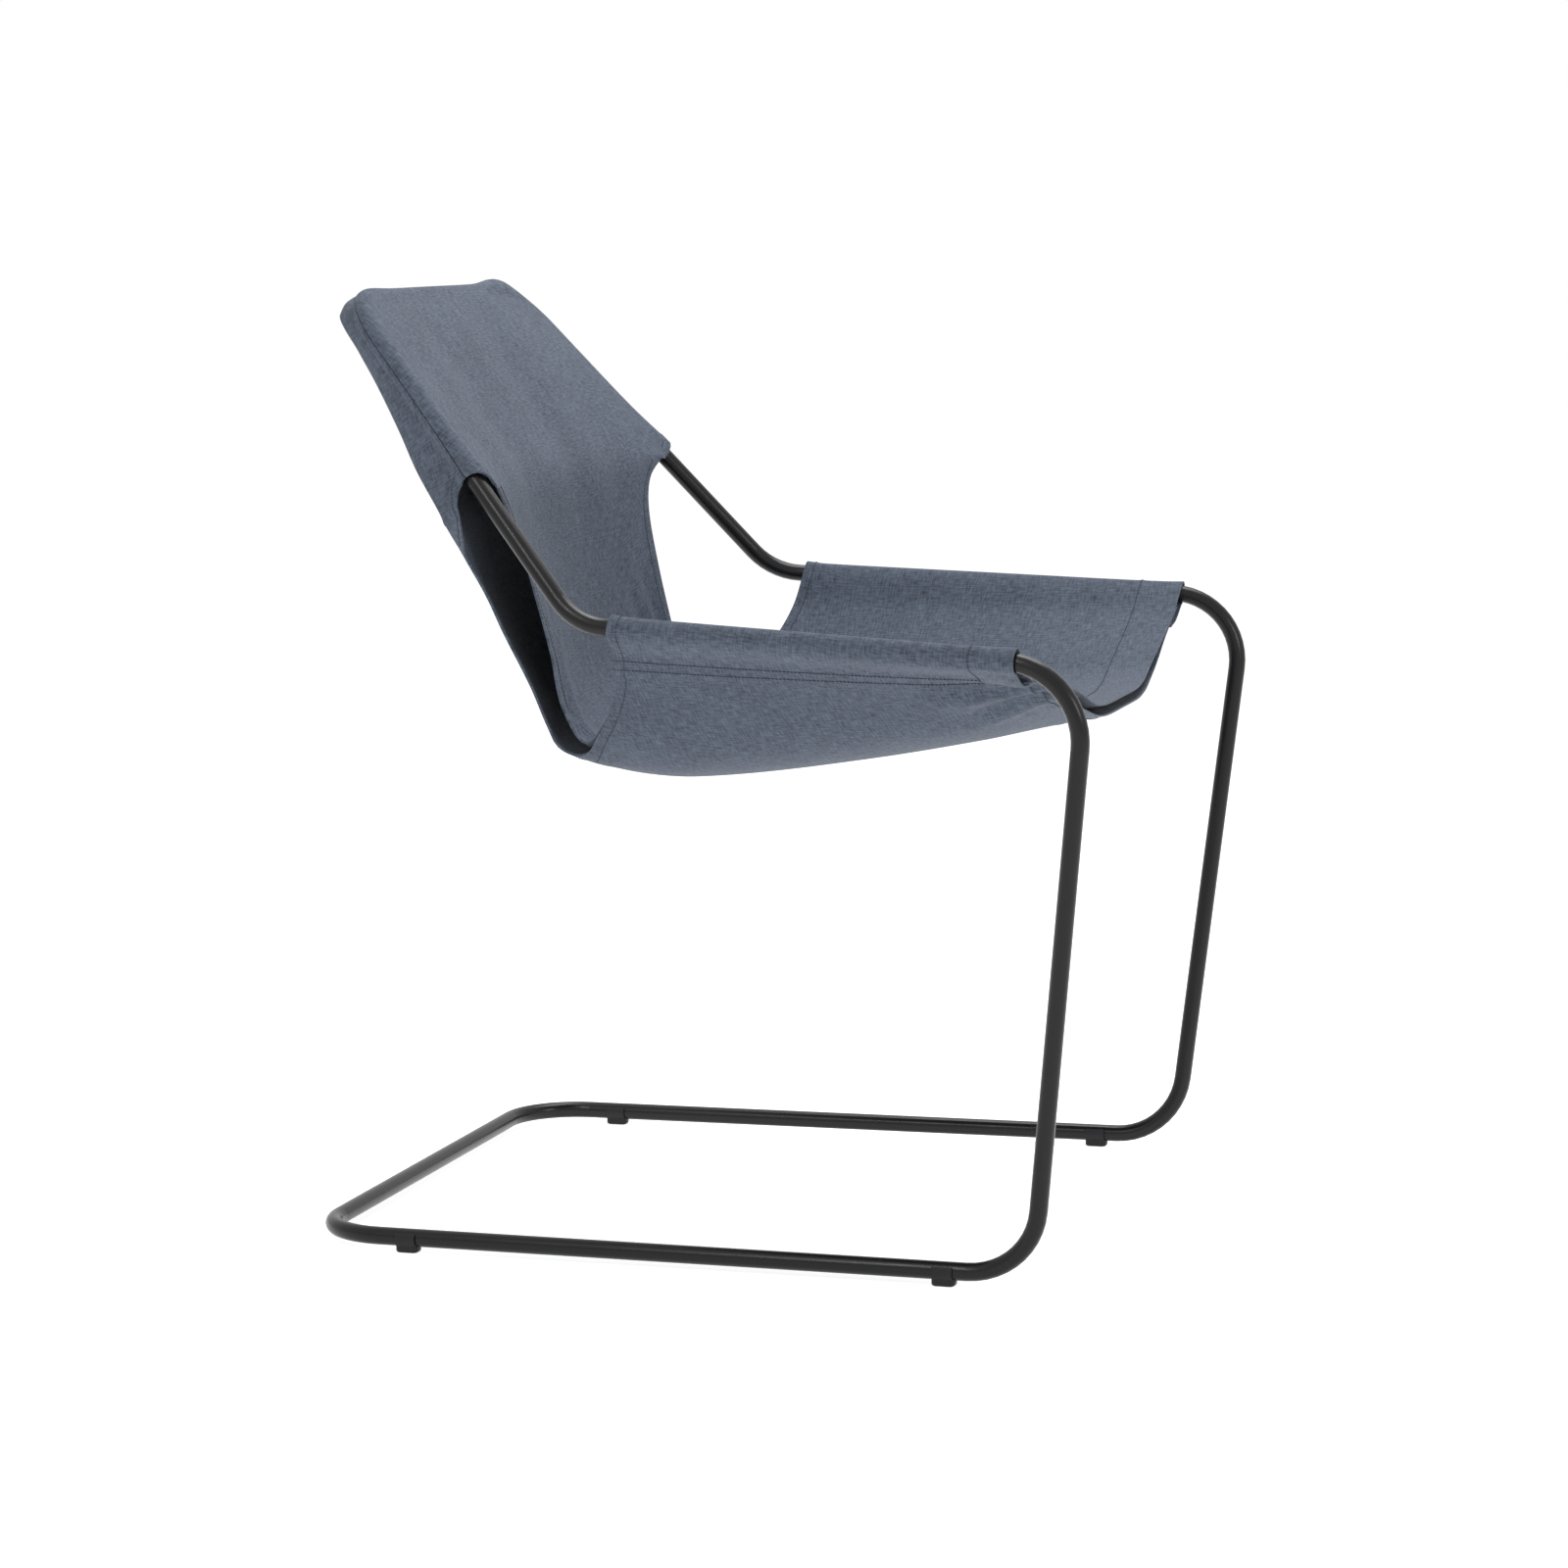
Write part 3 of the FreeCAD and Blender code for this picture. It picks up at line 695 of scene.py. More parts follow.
@dataclass(frozen=True)
class WovenFinish:
    """Woven cloth or tape: a colour that flecks of yarn vary and painted shade darkens along the hems, read
    from the piece's own pattern.
    """

    name: str
    colour: tuple[float, float, float]
    yarn: float
    bump: float
    sheen: float
    shine: float = 0.25
    roughness: float = 0.92
    bump_depth: float = 0.0004
    sheen_roughness: float = 0.5

    def material(self, group: bpy.types.NodeTree) -> bpy.types.Material:
        """Make the finish.

        Args:
            group: the shared group that gives the yarn.

        Returns:
            The material.
        """
        material, nodes, surface = new_material(self.name)
        pattern = nodes.add("ShaderNodeUVMap", uv_map="pattern")
        hem = nodes.add("ShaderNodeAttribute", attribute_name="hem")
        given = {"Pattern": pattern.outputs["UV"], "Hem": hem.outputs["Fac"], "Yarn": self.yarn}
        woven = nodes.add("ShaderNodeGroup", given, node_tree=group)
        toned = {"Vector": self.colour, "Scale": woven.outputs["Tone"]}
        tint = nodes.add("ShaderNodeVectorMath", toned, operation="SCALE")
        looks = {
            "Base Color": tint.outputs[0],
            "Normal": nodes.bump(woven.outputs["Height"], self.bump, self.bump_depth),
            "Roughness": self.roughness,
            "Specular IOR Level": self.shine,
            "Sheen Weight": self.sheen,
            "Sheen Roughness": self.sheen_roughness,
        }
        nodes.fill(surface, looks)
        return material


@dataclass(frozen=True)
class HardFinish:
    """Sprayed metal or moulded plastic: one colour under a fine grain."""

    name: str
    colour: tuple[float, float, float]
    smooth: float
    uneven: float
    bump: float
    shine: float = 0.26
    bump_depth: float = 0.0001

    def material(self, group: bpy.types.NodeTree) -> bpy.types.Material:
        """Make the finish.

        Args:
            group: the shared group that gives the grain.

        Returns:
            The material.
        """
        material, nodes, surface = new_material(self.name)
        place = nodes.add("ShaderNodeTexCoord")
        given = {"Place": place.outputs["Object"], "Smooth": self.smooth, "Uneven": self.uneven}
        grain = nodes.add("ShaderNodeGroup", given, node_tree=group)
        looks = {
            "Base Color": (*self.colour, 1.0),
            "Normal": nodes.bump(grain.outputs["Height"], self.bump, self.bump_depth),
            "Roughness": grain.outputs["Roughness"],
            "Specular IOR Level": self.shine,
        }
        nodes.fill(surface, looks)
        return material


CANVAS = WovenFinish("heathered_canvas", (0.102, 0.124, 0.165), 0.0011, 0.2, 0.10)
# the back of the cloth: a dark backing, also taken near-black as painted shade for the inside of the cover
BACKING_AND_SHADE = WovenFinish("dark_backing_and_painted_shade", (0.0065, 0.0072, 0.0095), 0.0011, 0.2, 0.0, 0.0)
TAPE = WovenFinish("closure_tape", (0.03, 0.035, 0.05), 0.0016, 0.5, 0.1)
COAT = HardFinish("satin_black_coat", (0.008, 0.008, 0.009), 0.26, 0.03, 0.02)
PLASTIC = HardFinish("moulded_black", (0.012, 0.012, 0.0135), 0.48, 0.06, 0.3)
THREAD = HardFinish("sewing_thread", (0.05, 0.06, 0.08), 0.8, 0.05, 0.2)


@dataclass(frozen=True)
class Fold:
    """A soft ridge, or a hollow where its height is negative, along a line that the cloth is pulled into.

    The distance from the line counts in full on every axis, or by the share that counts gives it.
    """

    start: Point
    end: Point
    height: float
    width: float
    counts: Point = (1.0, 1.0, 1.0)
    begins: tuple[float, float] = (-0.25, 0.2)
    ends: tuple[float, float] = (0.4, 1.1)

    def lift(self, points: np.ndarray) -> np.ndarray:
        """Return how far the fold lifts each point: most near its start, nothing past its end.

        Args:
            points: places of shape (n, 3).

        Returns:
            The lift of each.
        """
        first, last = np.array(self.start), np.array(self.end)
        run = last - first
        place = (points - first) @ run / (run @ run)
        nearest = first + np.clip(place, 0.0, 1.0)[:, None] * run
        away = np.linalg.norm((points - nearest) * np.array(self.counts), axis=1)
        taper = ease(*self.begins, place) * (1.0 - ease(*self.ends, place))
        return self.height * taper * np.exp(-((away / self.width) ** 2))


@dataclass
class CoverLayer:
    """What both layers of the cover share: cloth, rows and columns, and how a sheet is finished."""

    face: Face = Face.SITTER
    seat: Hammock = Hammock()
    gap: float = 6.0
    front_gap: float = 2.5
    front_draw: float = 0.14
    thickness: float = 1.4
    hem_thickness: float = 2.2
    hem_width: float = 10.0
    hem_fade: float = 3.0
    front_hem: float = 40.0
    stitch_rise: float = 0.15
    past_arch: float = 3.0
    centre_reach: float = 0.585
    seat_rows: int = 84
    low_rows: int = 46
    arch_rows: int = 8
    high_rows: int = 44
    half_columns: int = 34
    wall_columns: int = 32
    pocket_columns: int = 14
    slit_rows: int = 0
    edge_rows: int = 3
    edge_columns: int = 2
    mouth_rise: float = 14.0
    mouth_looseness: float = 3.5
    loose_length: float = 42.0
    slit: Pairs = ((0.0, 0.0), (14.0, 1.0))
    own_curve: float = 0.3
    back_sag: float = 24.0
    mouth_sag: float = 22.0
    pocket_wrap: float = 8.8
    flat_share: float = 0.42
    seam_turn: float = 96.0
    near_ear: float = 1.0
    far_ear: float = 4.0
    ear_place: float = 42.0
    ear_width: float = 32.0
    bend_rows: float = 9.0
    bend_passes: int = 120
    turn_radius: float = 36.0
    turn_passes: int = 36
    turn_shift: Point = (0.0, 7.0, -12.0)

    def __post_init__(self) -> None:
        """Start the sheet's mesh and the places that later work reads."""
        self.bar = self.seat.bar
        self.mesh = ClothMesh()
        self.along = np.linspace(0.0, 1.0, self.seat_rows)
        self.shares = np.linspace(-1.0, 1.0, 2 * self.half_columns + 1)
        self.widths = np.stack([self.shares, self.shares**0, self.shares**0], axis=-1)
        self.belly = 1.0 - self.shares**2
        self.mouth = self.seat_rows + self.low_rows - 1
        self.corner_at, self.middle_at = self.bar.outline_lengths()
        arch = self.mouth_rise * np.sin(np.linspace(0.0, math.pi / 2, self.arch_rows + 1))
        rest = np.linspace(self.mouth_rise, self.corner_at, self.high_rows + 1)
        self.side_along = np.concatenate([arch, rest[1:]])
        self.top_along = self.middle_at - np.abs(self.shares) * (self.middle_at - self.corner_at)
        self.places: dict[str, np.ndarray] = {}
        self.pocket_along = np.zeros(0)
        self.points = np.zeros((0, 3))
        self.normals = np.zeros((0, 3))
        self.area = 0.0

    def rise_of(self, down: np.ndarray, along: np.ndarray) -> np.ndarray:
        """Return how far the layer lies above the seat's middle surface, by length below the arm's axis."""
        raise NotImplementedError

    def edge_of(self, along: np.ndarray) -> tuple[np.ndarray, np.ndarray]:
        """Return how far inside the bar, and out of the back's plane, the centre's edge runs."""
        raise NotImplementedError

    def low_back(self, last_row: np.ndarray) -> np.ndarray:
        """Return the rows from the seat up to the pocket's mouths."""
        raise NotImplementedError

    def wing(self, hand: Hand) -> np.ndarray:
        """Return the cloth from the centre's side up to and past one arm."""
        raise NotImplementedError

    def pocket_place(
        self, start: np.ndarray, along: np.ndarray, shares: np.ndarray, side: np.ndarray
    ) -> np.ndarray:
        """Return the pocket's side, from the centre's edge to the seam on the bar's outer side.

        Args:
            start: the centre's edge, one point for each row.
            along: each row's length of bar above the mouth.
            shares: the share of the way to the seam, by row and column.
            side: the sign of x in each row.

        Returns:
            Points of shape (rows, columns, 3).
        """
        raise NotImplementedError

    def folds(self) -> list[Fold]:
        """Return the folds that the layer is pulled into."""
        raise NotImplementedError

    def gap_at(self, along: np.ndarray) -> np.ndarray:
        """Return the layer's distance from the middle surface: the front edges are drawn together."""
        return self.front_gap + (self.gap - self.front_gap) * ease(0.0, self.front_draw, along)

    def arch(self, shares: np.ndarray) -> np.ndarray:
        """Return the height of the mouth's free edge above the mouth, by share of the pocket's side."""
        return np.interp(shares, [share for _, share in self.slit], [along for along, _ in self.slit])

    def reach_of(self, along: np.ndarray) -> np.ndarray:
        """Return the share of the pocket's side that there is cloth for: all of it above the mouth's arch."""
        return np.interp(along, [along for along, _ in self.slit], [share for _, share in self.slit])

    def wrap_of(self, along: np.ndarray, side: np.ndarray) -> np.ndarray:
        """Return how far from the bar's axis the pocket's cloth runs.

        Args:
            along: lengths of bar above the mouth.
            side: the sign of x at each.

        Returns:
            The distances: larger at the mouths and at the top's corners, where the cloth is loose.
        """
        loose = self.mouth_looseness * np.exp(-((along / self.loose_length) ** 2))
        ear = np.where(side < 0.0, self.near_ear, self.far_ear)
        beyond = (along - self.corner_at - self.ear_place) / self.ear_width
        return self.pocket_wrap + loose + ear * np.exp(-(beyond**2))

    def seat_centre(self) -> np.ndarray:
        """Return the seat between the back's two side edges."""
        across = self.shares[None, :] * self.centre_reach
        along = self.along[:, None]
        down = (1.0 - np.abs(across)) * self.seat.slack(along)
        return self.seat.offset(across, along, self.rise_of(down, along))

    def below_mouths(self, last_row: np.ndarray, path: list[Point], sags: Pairs) -> np.ndarray:
        """Return the rows between the seat and the mouths.

        Args:
            last_row: the seat's last row.
            path: the free edge on the left side, after the seat's corner.
            sags: (share of the way, depth) of the middle behind the edges.

        Returns:
            Points of shape (rows, columns, 3).
        """
        steps = np.linspace(0.0, 1.0, self.low_rows + 1)[1:]
        edge = path_through([tuple(last_row[-1]), *path], steps)
        run = unit(np.gradient(edge, axis=0) * np.array([0.0, 1.0, 1.0]))
        behind = np.stack([np.zeros(len(run)), run[:, 2], -run[:, 1]], axis=-1)[:, None, :]
        # next to the seat the rows still carry the seat's own curve
        own = last_row - last_row[-1] * self.widths
        fade = 1.0 - ease(0.0, self.own_curve, steps)
        sag = stepped(sags, steps) - sags[0][1] * fade
        hollow = behind * (sag[:, None] * self.belly)[..., None]
        return edge[:, None, :] * self.widths + hollow + own[None] * fade[:, None, None]

    def high_back(self, last_row: np.ndarray) -> np.ndarray:
        """Return the rows above the mouths, up to where the cloth meets the top rail.

        Args:
            last_row: the row at the mouths.

        Returns:
            Points of shape (rows, columns, 3).
        """
        along = self.side_along[1:]
        steps = along / self.corner_at
        side, outward = self.bar.outline(along)
        inset, out = self.edge_of(along)
        side = side - outward * inset[:, None]
        top, top_outward = self.bar.outline(self.top_along)
        top_inset, top_out = self.edge_of(self.top_along)
        top = top - top_outward * top_inset[:, None]
        top_x = top[:, 0] * np.sign(self.shares)
        middle = last_row[self.half_columns] - np.array([0.0, *self.bar.elbow[1:]])
        first_up = middle @ self.bar.up_the_back
        middle_up = first_up + (top[self.half_columns, 1] - first_up) * steps
        x = side[:, :1] * self.shares
        up = side[:, 1:] + (middle_up[:, None] - side[:, 1:]) * self.belly
        sag = self.mouth_sag * (1.0 - ease(0.0, 1.0, steps))
        height = out[:, None] - sag[:, None] * self.belly
        # the upper half turns little by little into the top's own line
        fit = ease(0.5, 1.0, steps)[:, None]
        x = x + (top_x - x[-1]) * fit
        up = up + (top[:, 1] - up[-1]) * fit
        height = height + (top_out - height[-1]) * fit
        return self.bar.on_back(x, up, height)

    def relaxed(self, centre: np.ndarray) -> np.ndarray:
        """Even out the bends from seat to back and from low to high back, as taut cloth does.

        Args:
            centre: the centre's points by row and column.

        Returns:
            The points after they have moved.
        """
        after_seat, before_mouth, after_mouth, before_top = 4, 8, 20, 4
        rows = np.arange(len(centre))
        at_seat = np.exp(-(((rows - self.seat_rows) / self.bend_rows) ** 2))
        begun = ease(self.seat_rows + after_seat, self.mouth - before_mouth, rows)
        ended = ease(self.mouth + after_mouth, len(rows) - before_top, rows)
        pull = np.clip(at_seat + begun * (1.0 - ended), 0.0, 1.0)[:, None] * (1.0 - self.shares**4)
        for _ in range(self.bend_passes):
            mean = centre.copy()
            mean[1:-1] = (centre[:-2] + centre[2:]) / 2.0
            centre = centre + (mean - centre) * (0.5 * pull)[..., None]
        return centre

    def pattern_of(self, points: np.ndarray) -> np.ndarray:
        """Return the flat pattern of the centre grid, from its lengths across and along."""
        across = run_lengths(points, 1)
        across = across - across[:, [self.half_columns]]
        return np.stack([across, run_lengths(points, 0)], axis=-1)

    def hem_at_front(self, lengths: np.ndarray) -> np.ndarray:
        """Return a hem's distance that is least on the front hem's line of stitches."""
        return np.abs(lengths - self.front_hem) + self.hem_width - 1.0

    def centre_hem(self, centre: np.ndarray, pattern: np.ndarray) -> np.ndarray:
        """Return the centre's distance to its hems: the front's stitches and the free edges at the sides.

        Args:
            centre: the centre's points by row and column.
            pattern: their places in the flat cloth.

        Returns:
            The distance of each point.
        """
        hem = self.hem_at_front(pattern[..., 1])
        low = slice(self.seat_rows, self.mouth + 1 - self.slit_rows)
        hem[low] = np.abs(pattern[low, -1:, 0]) - np.abs(pattern[low, :, 0])
        corners = centre[self.seat_rows - 1, [0, -1]]
        away = np.linalg.norm(centre[:, :, None, :] - corners, axis=-1).min(axis=-1)
        return np.minimum(hem, away)

    def build(self, name: str) -> bpy.types.Object:
        """Build the layer as one sheet.

        Args:
            name: the piece's name.

        Returns:
            The finished object.
        """
        seat = self.seat_centre()
        low = self.low_back(seat[-1])
        centre = self.relaxed(np.concatenate([seat, low, self.high_back(low[-1])]))
        pattern = self.pattern_of(centre)
        hem = self.centre_hem(centre, pattern)
        index = self.mesh.add(centre, pattern, hem, self.face is Face.OUTSIDE)
        self.places["centre"] = index
        for hand in Hand:
            self.add_wing(hand, index, centre, pattern)
        self.add_pocket(index, centre, pattern)
        return self.finish_sheet(name)

    def add_wing(self, hand: Hand, index: np.ndarray, centre: np.ndarray, pattern: np.ndarray) -> None:
        """Add one arm's wing to the sheet, joined to the seat's side column.

        Args:
            hand: the arm's side.
            index: the indices of the centre's points.
            centre: the centre's points.
            pattern: their places in the flat cloth.
        """
        column = -1 if hand is Hand.LEFT else 0
        points = self.wing(hand)
        points[:, 0] = centre[: self.seat_rows, column]
        across = run_lengths(points, 1) * hand.side + pattern[: self.seat_rows, column, 0][:, None]
        lengths = run_lengths(points, 0)
        flat = np.stack([across, lengths], axis=-1)
        hem = np.minimum(lengths[-1:] - lengths, self.hem_at_front(lengths))
        turned = (hand is Hand.RIGHT) == (self.face is Face.SITTER)
        self.places[hand.wing] = self.mesh.add(points, flat, hem, turned, index[: self.seat_rows, column])

    def flanks(self, along: np.ndarray, side: np.ndarray) -> tuple[np.ndarray, np.ndarray]:
        """Return the bar's in-plane places and outward directions on the side that each length is on."""
        places, outward = self.bar.outline(along)
        flip = np.stack([side, np.ones_like(side)], axis=-1)
        return places * flip, outward * flip

    def beside_bar(
        self, along: np.ndarray, side: np.ndarray, reach: np.ndarray, height: np.ndarray
    ) -> np.ndarray:
        """Return points next to the bar.

        Args:
            along: each row's length of bar above the mouth.
            side: the sign of x in each row.
            reach: how far outward from the bar's axis each point lies, by row and column.
            height: how far out of the back's plane it lies.

        Returns:
            Points of shape (rows, columns, 3).
        """
        places, outward = self.flanks(along, side)
        flat = places[:, None, :] + outward[:, None, :] * reach[..., None]
        return self.bar.on_back(flat[..., 0], flat[..., 1], height)

    def flat_and_turn(self, shares: np.ndarray) -> tuple[np.ndarray, np.ndarray]:
        """Return the share of the pocket's flat run, and then of its turn round the bar."""
        turn = (shares - self.flat_share) / (1.0 - self.flat_share)
        return np.clip(shares / self.flat_share, 0.0, 1.0), np.clip(turn, 0.0, 1.0)

    def add_pocket(self, index: np.ndarray, centre: np.ndarray, pattern: np.ndarray) -> None:
        """Add the pocket's side, up from one mouth, over the top and down to the other mouth.

        Args:
            index: the indices of the centre's points.
            centre: the centre's points.
            pattern: their places in the flat cloth.
        """
        last_row = len(centre) - 1
        last = 2 * self.half_columns
        up_rows = np.arange(self.mouth - self.slit_rows, last_row + 1)
        rows = np.concatenate([up_rows, np.full(last - 1, last_row), up_rows[::-1]])
        columns = np.concatenate(
            [np.full(len(up_rows), last), np.arange(last - 1, 0, -1), np.zeros(len(up_rows), dtype=int)]
        )
        slit = centre[self.mouth - self.slit_rows : self.mouth + 1, -1]
        below = run_lengths(slit, 0)
        up_along = np.concatenate([below[:-1] - below[-1], self.side_along])
        along = np.concatenate([up_along, self.top_along[last - 1 : 0 : -1], up_along[::-1]])
        side = np.where(columns < self.half_columns, -1.0, 1.0)
        shares = np.linspace(0.0, 1.0, self.pocket_columns + 1) * self.reach_of(along)[:, None]
        start = centre[rows, columns]
        points = self.pocket_place(start, along, shares, side)
        points[:, 0] = start
        _, outward = self.flanks(along, side)
        flat = pattern[rows, columns][:, None, :] + outward[:, None, :] * run_lengths(points, 1)[..., None]
        hem = along[:, None] - self.arch(shares)
        made = self.mesh.add(points, flat, hem, self.face is Face.OUTSIDE, index[rows, columns])
        self.places["pocket"] = made
        self.pocket_along = along

    def rounded(self, points: np.ndarray, faces: np.ndarray) -> np.ndarray:
        """Round the free edge where it turns from the sleeve up to the back, as the cloth is cut.

        Args:
            points: the sheet's points.
            faces: its faces.

        Returns:
            The points after they have moved.
        """
        turns = points[self.places["centre"][self.seat_rows - 1, [0, -1]]]
        away = np.linalg.norm(points[:, None, :] - turns, axis=-1).min(axis=1)
        near_turn = (1.0 - ease(0.0, self.turn_radius, away))[:, None]
        points = points + near_turn * np.array(self.turn_shift)
        near, far = joined(faces, len(points))
        count = np.bincount(near, minlength=len(points))[:, None]
        for _ in range(self.turn_passes):
            total = np.stack([np.bincount(near, column[far], len(points)) for column in points.T], axis=-1)
            points = points + (total / count - points) * (0.5 * near_turn)
        return points

    def drag_folds(self) -> list[Fold]:
        """Return the folds that run back from the near flap's loose front corner, on the right arm's wall."""
        # each fold: start and end as (place along the chair, length below the arm's axis), height and width
        drawn = (
            ((-298.0, 60.0), (-180.0, 52.0), 3.8, 6.0),
            ((-300.0, 70.0), (-186.0, 72.0), -4.2, 5.5),
            ((-302.0, 81.0), (-200.0, 96.0), 3.8, 6.0),
            ((-302.0, 94.0), (-214.0, 120.0), -3.8, 6.5),
            ((-302.0, 108.0), (-228.0, 144.0), 3.2, 7.0),
            ((-296.0, 47.0), (-220.0, 42.0), -1.6, 4.0),
        )
        on_wall = (1.0, 1.0, 0.15)
        found = []
        for first, last, height, width in drawn:
            ends = []
            for y, hang in (first, last):
                along = np.array((y - self.seat.front) / self.seat.sleeve_length)
                ends.append(tuple(self.seat.middle(hang / self.seat.slack(along) - 1.0, along)))
            found.append(Fold(*ends, height, width, on_wall))
        return found

    def back_folds(
        self, drawn: Sequence[Point], top: tuple[float, float], foot: tuple[float, float], width: float
    ) -> list[Fold]:
        """Return soft folds down the back.

        Args:
            drawn: each fold's place across at its top, its place across at its foot, and its height.
            top: how far up the back's plane and out of it the folds start.
            foot: how far up the plane and out of it they end.
            width: their width.

        Returns:
            The folds.
        """
        found = []
        for x_top, x_foot, height in drawn:
            start, end = self.bar.on_back(x_top, *top), self.bar.on_back(x_foot, *foot)
            found.append(Fold(tuple(start), tuple(end), height, width))
        return found

    def finish_sheet(self, name: str) -> bpy.types.Object:
        """Give the gathered sheet its folds and thickness and return it as a plain object.

        Args:
            name: the piece's name.

        Returns:
            The finished object, with its pattern as a UV map and its hems as an attribute.
        """
        points, pattern, hems, faces = self.mesh.arrays()
        points = self.rounded(points, faces)
        lift = sum(fold.lift(points) for fold in self.folds())
        points = points + point_normals(points, faces) * lift[:, None]
        self.area = sheet_area(points, faces)
        self.points = points
        self.normals = point_normals(points, faces)
        piece = cloth_object(name, points, pattern, faces)
        hem = 1.0 - ease(self.hem_width, self.hem_width + self.hem_fade, hems)
        piece.data.attributes.new("hem", "FLOAT", "POINT").data.foreach_set("value", hem.astype(np.float32))
        folded = piece.vertex_groups.new(name="folded")
        plain = self.thickness / self.hem_thickness
        weights = plain + (1.0 - plain) * hem
        for index, weight in enumerate(weights.tolist()):
            folded.add([index], weight, "REPLACE")
        # one empty slot for each side of the cloth
        for _ in Face:
            piece.data.materials.append(None)
        thicken(piece, self.hem_thickness, "folded", 1)
        piece.vertex_groups.clear()
        return piece

    def line_on(self, grid: np.ndarray, rows: np.ndarray, columns: np.ndarray) -> np.ndarray:
        """Return a line on the good side of the sheet.

        Args:
            grid: the indices of a grid's points.
            rows: the grid's row of each place.
            columns: its column, which may lie between two.

        Returns:
            Points just above the cloth.
        """
        low = np.clip(np.floor(columns).astype(int), 0, grid.shape[1] - 2)
        share = (columns - low)[:, None]
        first, second = grid[rows, low], grid[rows, low + 1]
        points = self.points[first] * (1.0 - share) + self.points[second] * share
        normals = unit(self.normals[first] * (1.0 - share) + self.normals[second] * share)
        return points + normals * (self.hem_thickness / 2 + self.stitch_rise)

    def front_line(self, distance: float, trim: int) -> np.ndarray:
        """Return a line of stitches along the front edge.

        Args:
            distance: how far behind the edge it runs.
            trim: how many columns it leaves out at each end.

        Returns:
            Points just above the cloth.
        """
        right, left = self.places[Hand.RIGHT.wing], self.places[Hand.LEFT.wing]
        middle = self.places["centre"][: self.seat_rows, 1:-1]
        grid = np.concatenate([right[:, ::-1], middle, left], axis=1)
        lengths = run_lengths(self.points[grid], 0)
        columns = np.arange(trim, grid.shape[1] - trim)
        steps = np.arange(len(lengths))
        rows = np.array([np.interp(distance, lengths[:, column], steps) for column in columns])
        return self.line_on(grid.T, columns, rows)

    def free_edge_line(self, hand: Hand) -> np.ndarray:
        """Return the line of stitches along the sleeve's rear hem, round the turn and up the back's side.

        Args:
            hand: the side that it is on.

        Returns:
            Points just above the cloth.
        """
        wing = self.places[hand.wing]
        column = 2 * self.half_columns - self.edge_columns if hand is Hand.LEFT else self.edge_columns
        sleeve = np.arange(wing.shape[1] - 1, -1, -1)
        rear = self.line_on(wing.T, sleeve, np.full(len(sleeve), float(self.seat_rows - self.edge_rows)))
        up_rows = np.arange(self.seat_rows, self.mouth + 1 - self.slit_rows)
        upward = self.line_on(self.places["centre"], up_rows, np.full(len(up_rows), float(column)))
        return np.concatenate([rear, upward])

    def arch_line(self, hand: Hand, distance: float) -> np.ndarray:
        """Return the line of stitches that follows one mouth's free edge.

        Args:
            hand: the mouth's side.
            distance: how far from the edge it runs.

        Returns:
            Points just above the cloth.
        """
        along = self.pocket_along - distance
        reach = self.reach_of(self.pocket_along)
        middle = len(along) // 2
        half = slice(0, middle) if hand is Hand.LEFT else slice(middle, None)
        rows = np.arange(len(along))[half]
        lowest = float(self.arch(np.zeros(1))[0])
        rows = rows[(along[rows] > lowest) & (along[rows] < self.mouth_rise + self.past_arch)]
        columns = self.reach_of(along[rows]) / reach[rows] * self.pocket_columns
        return self.line_on(self.places["pocket"], rows, columns)


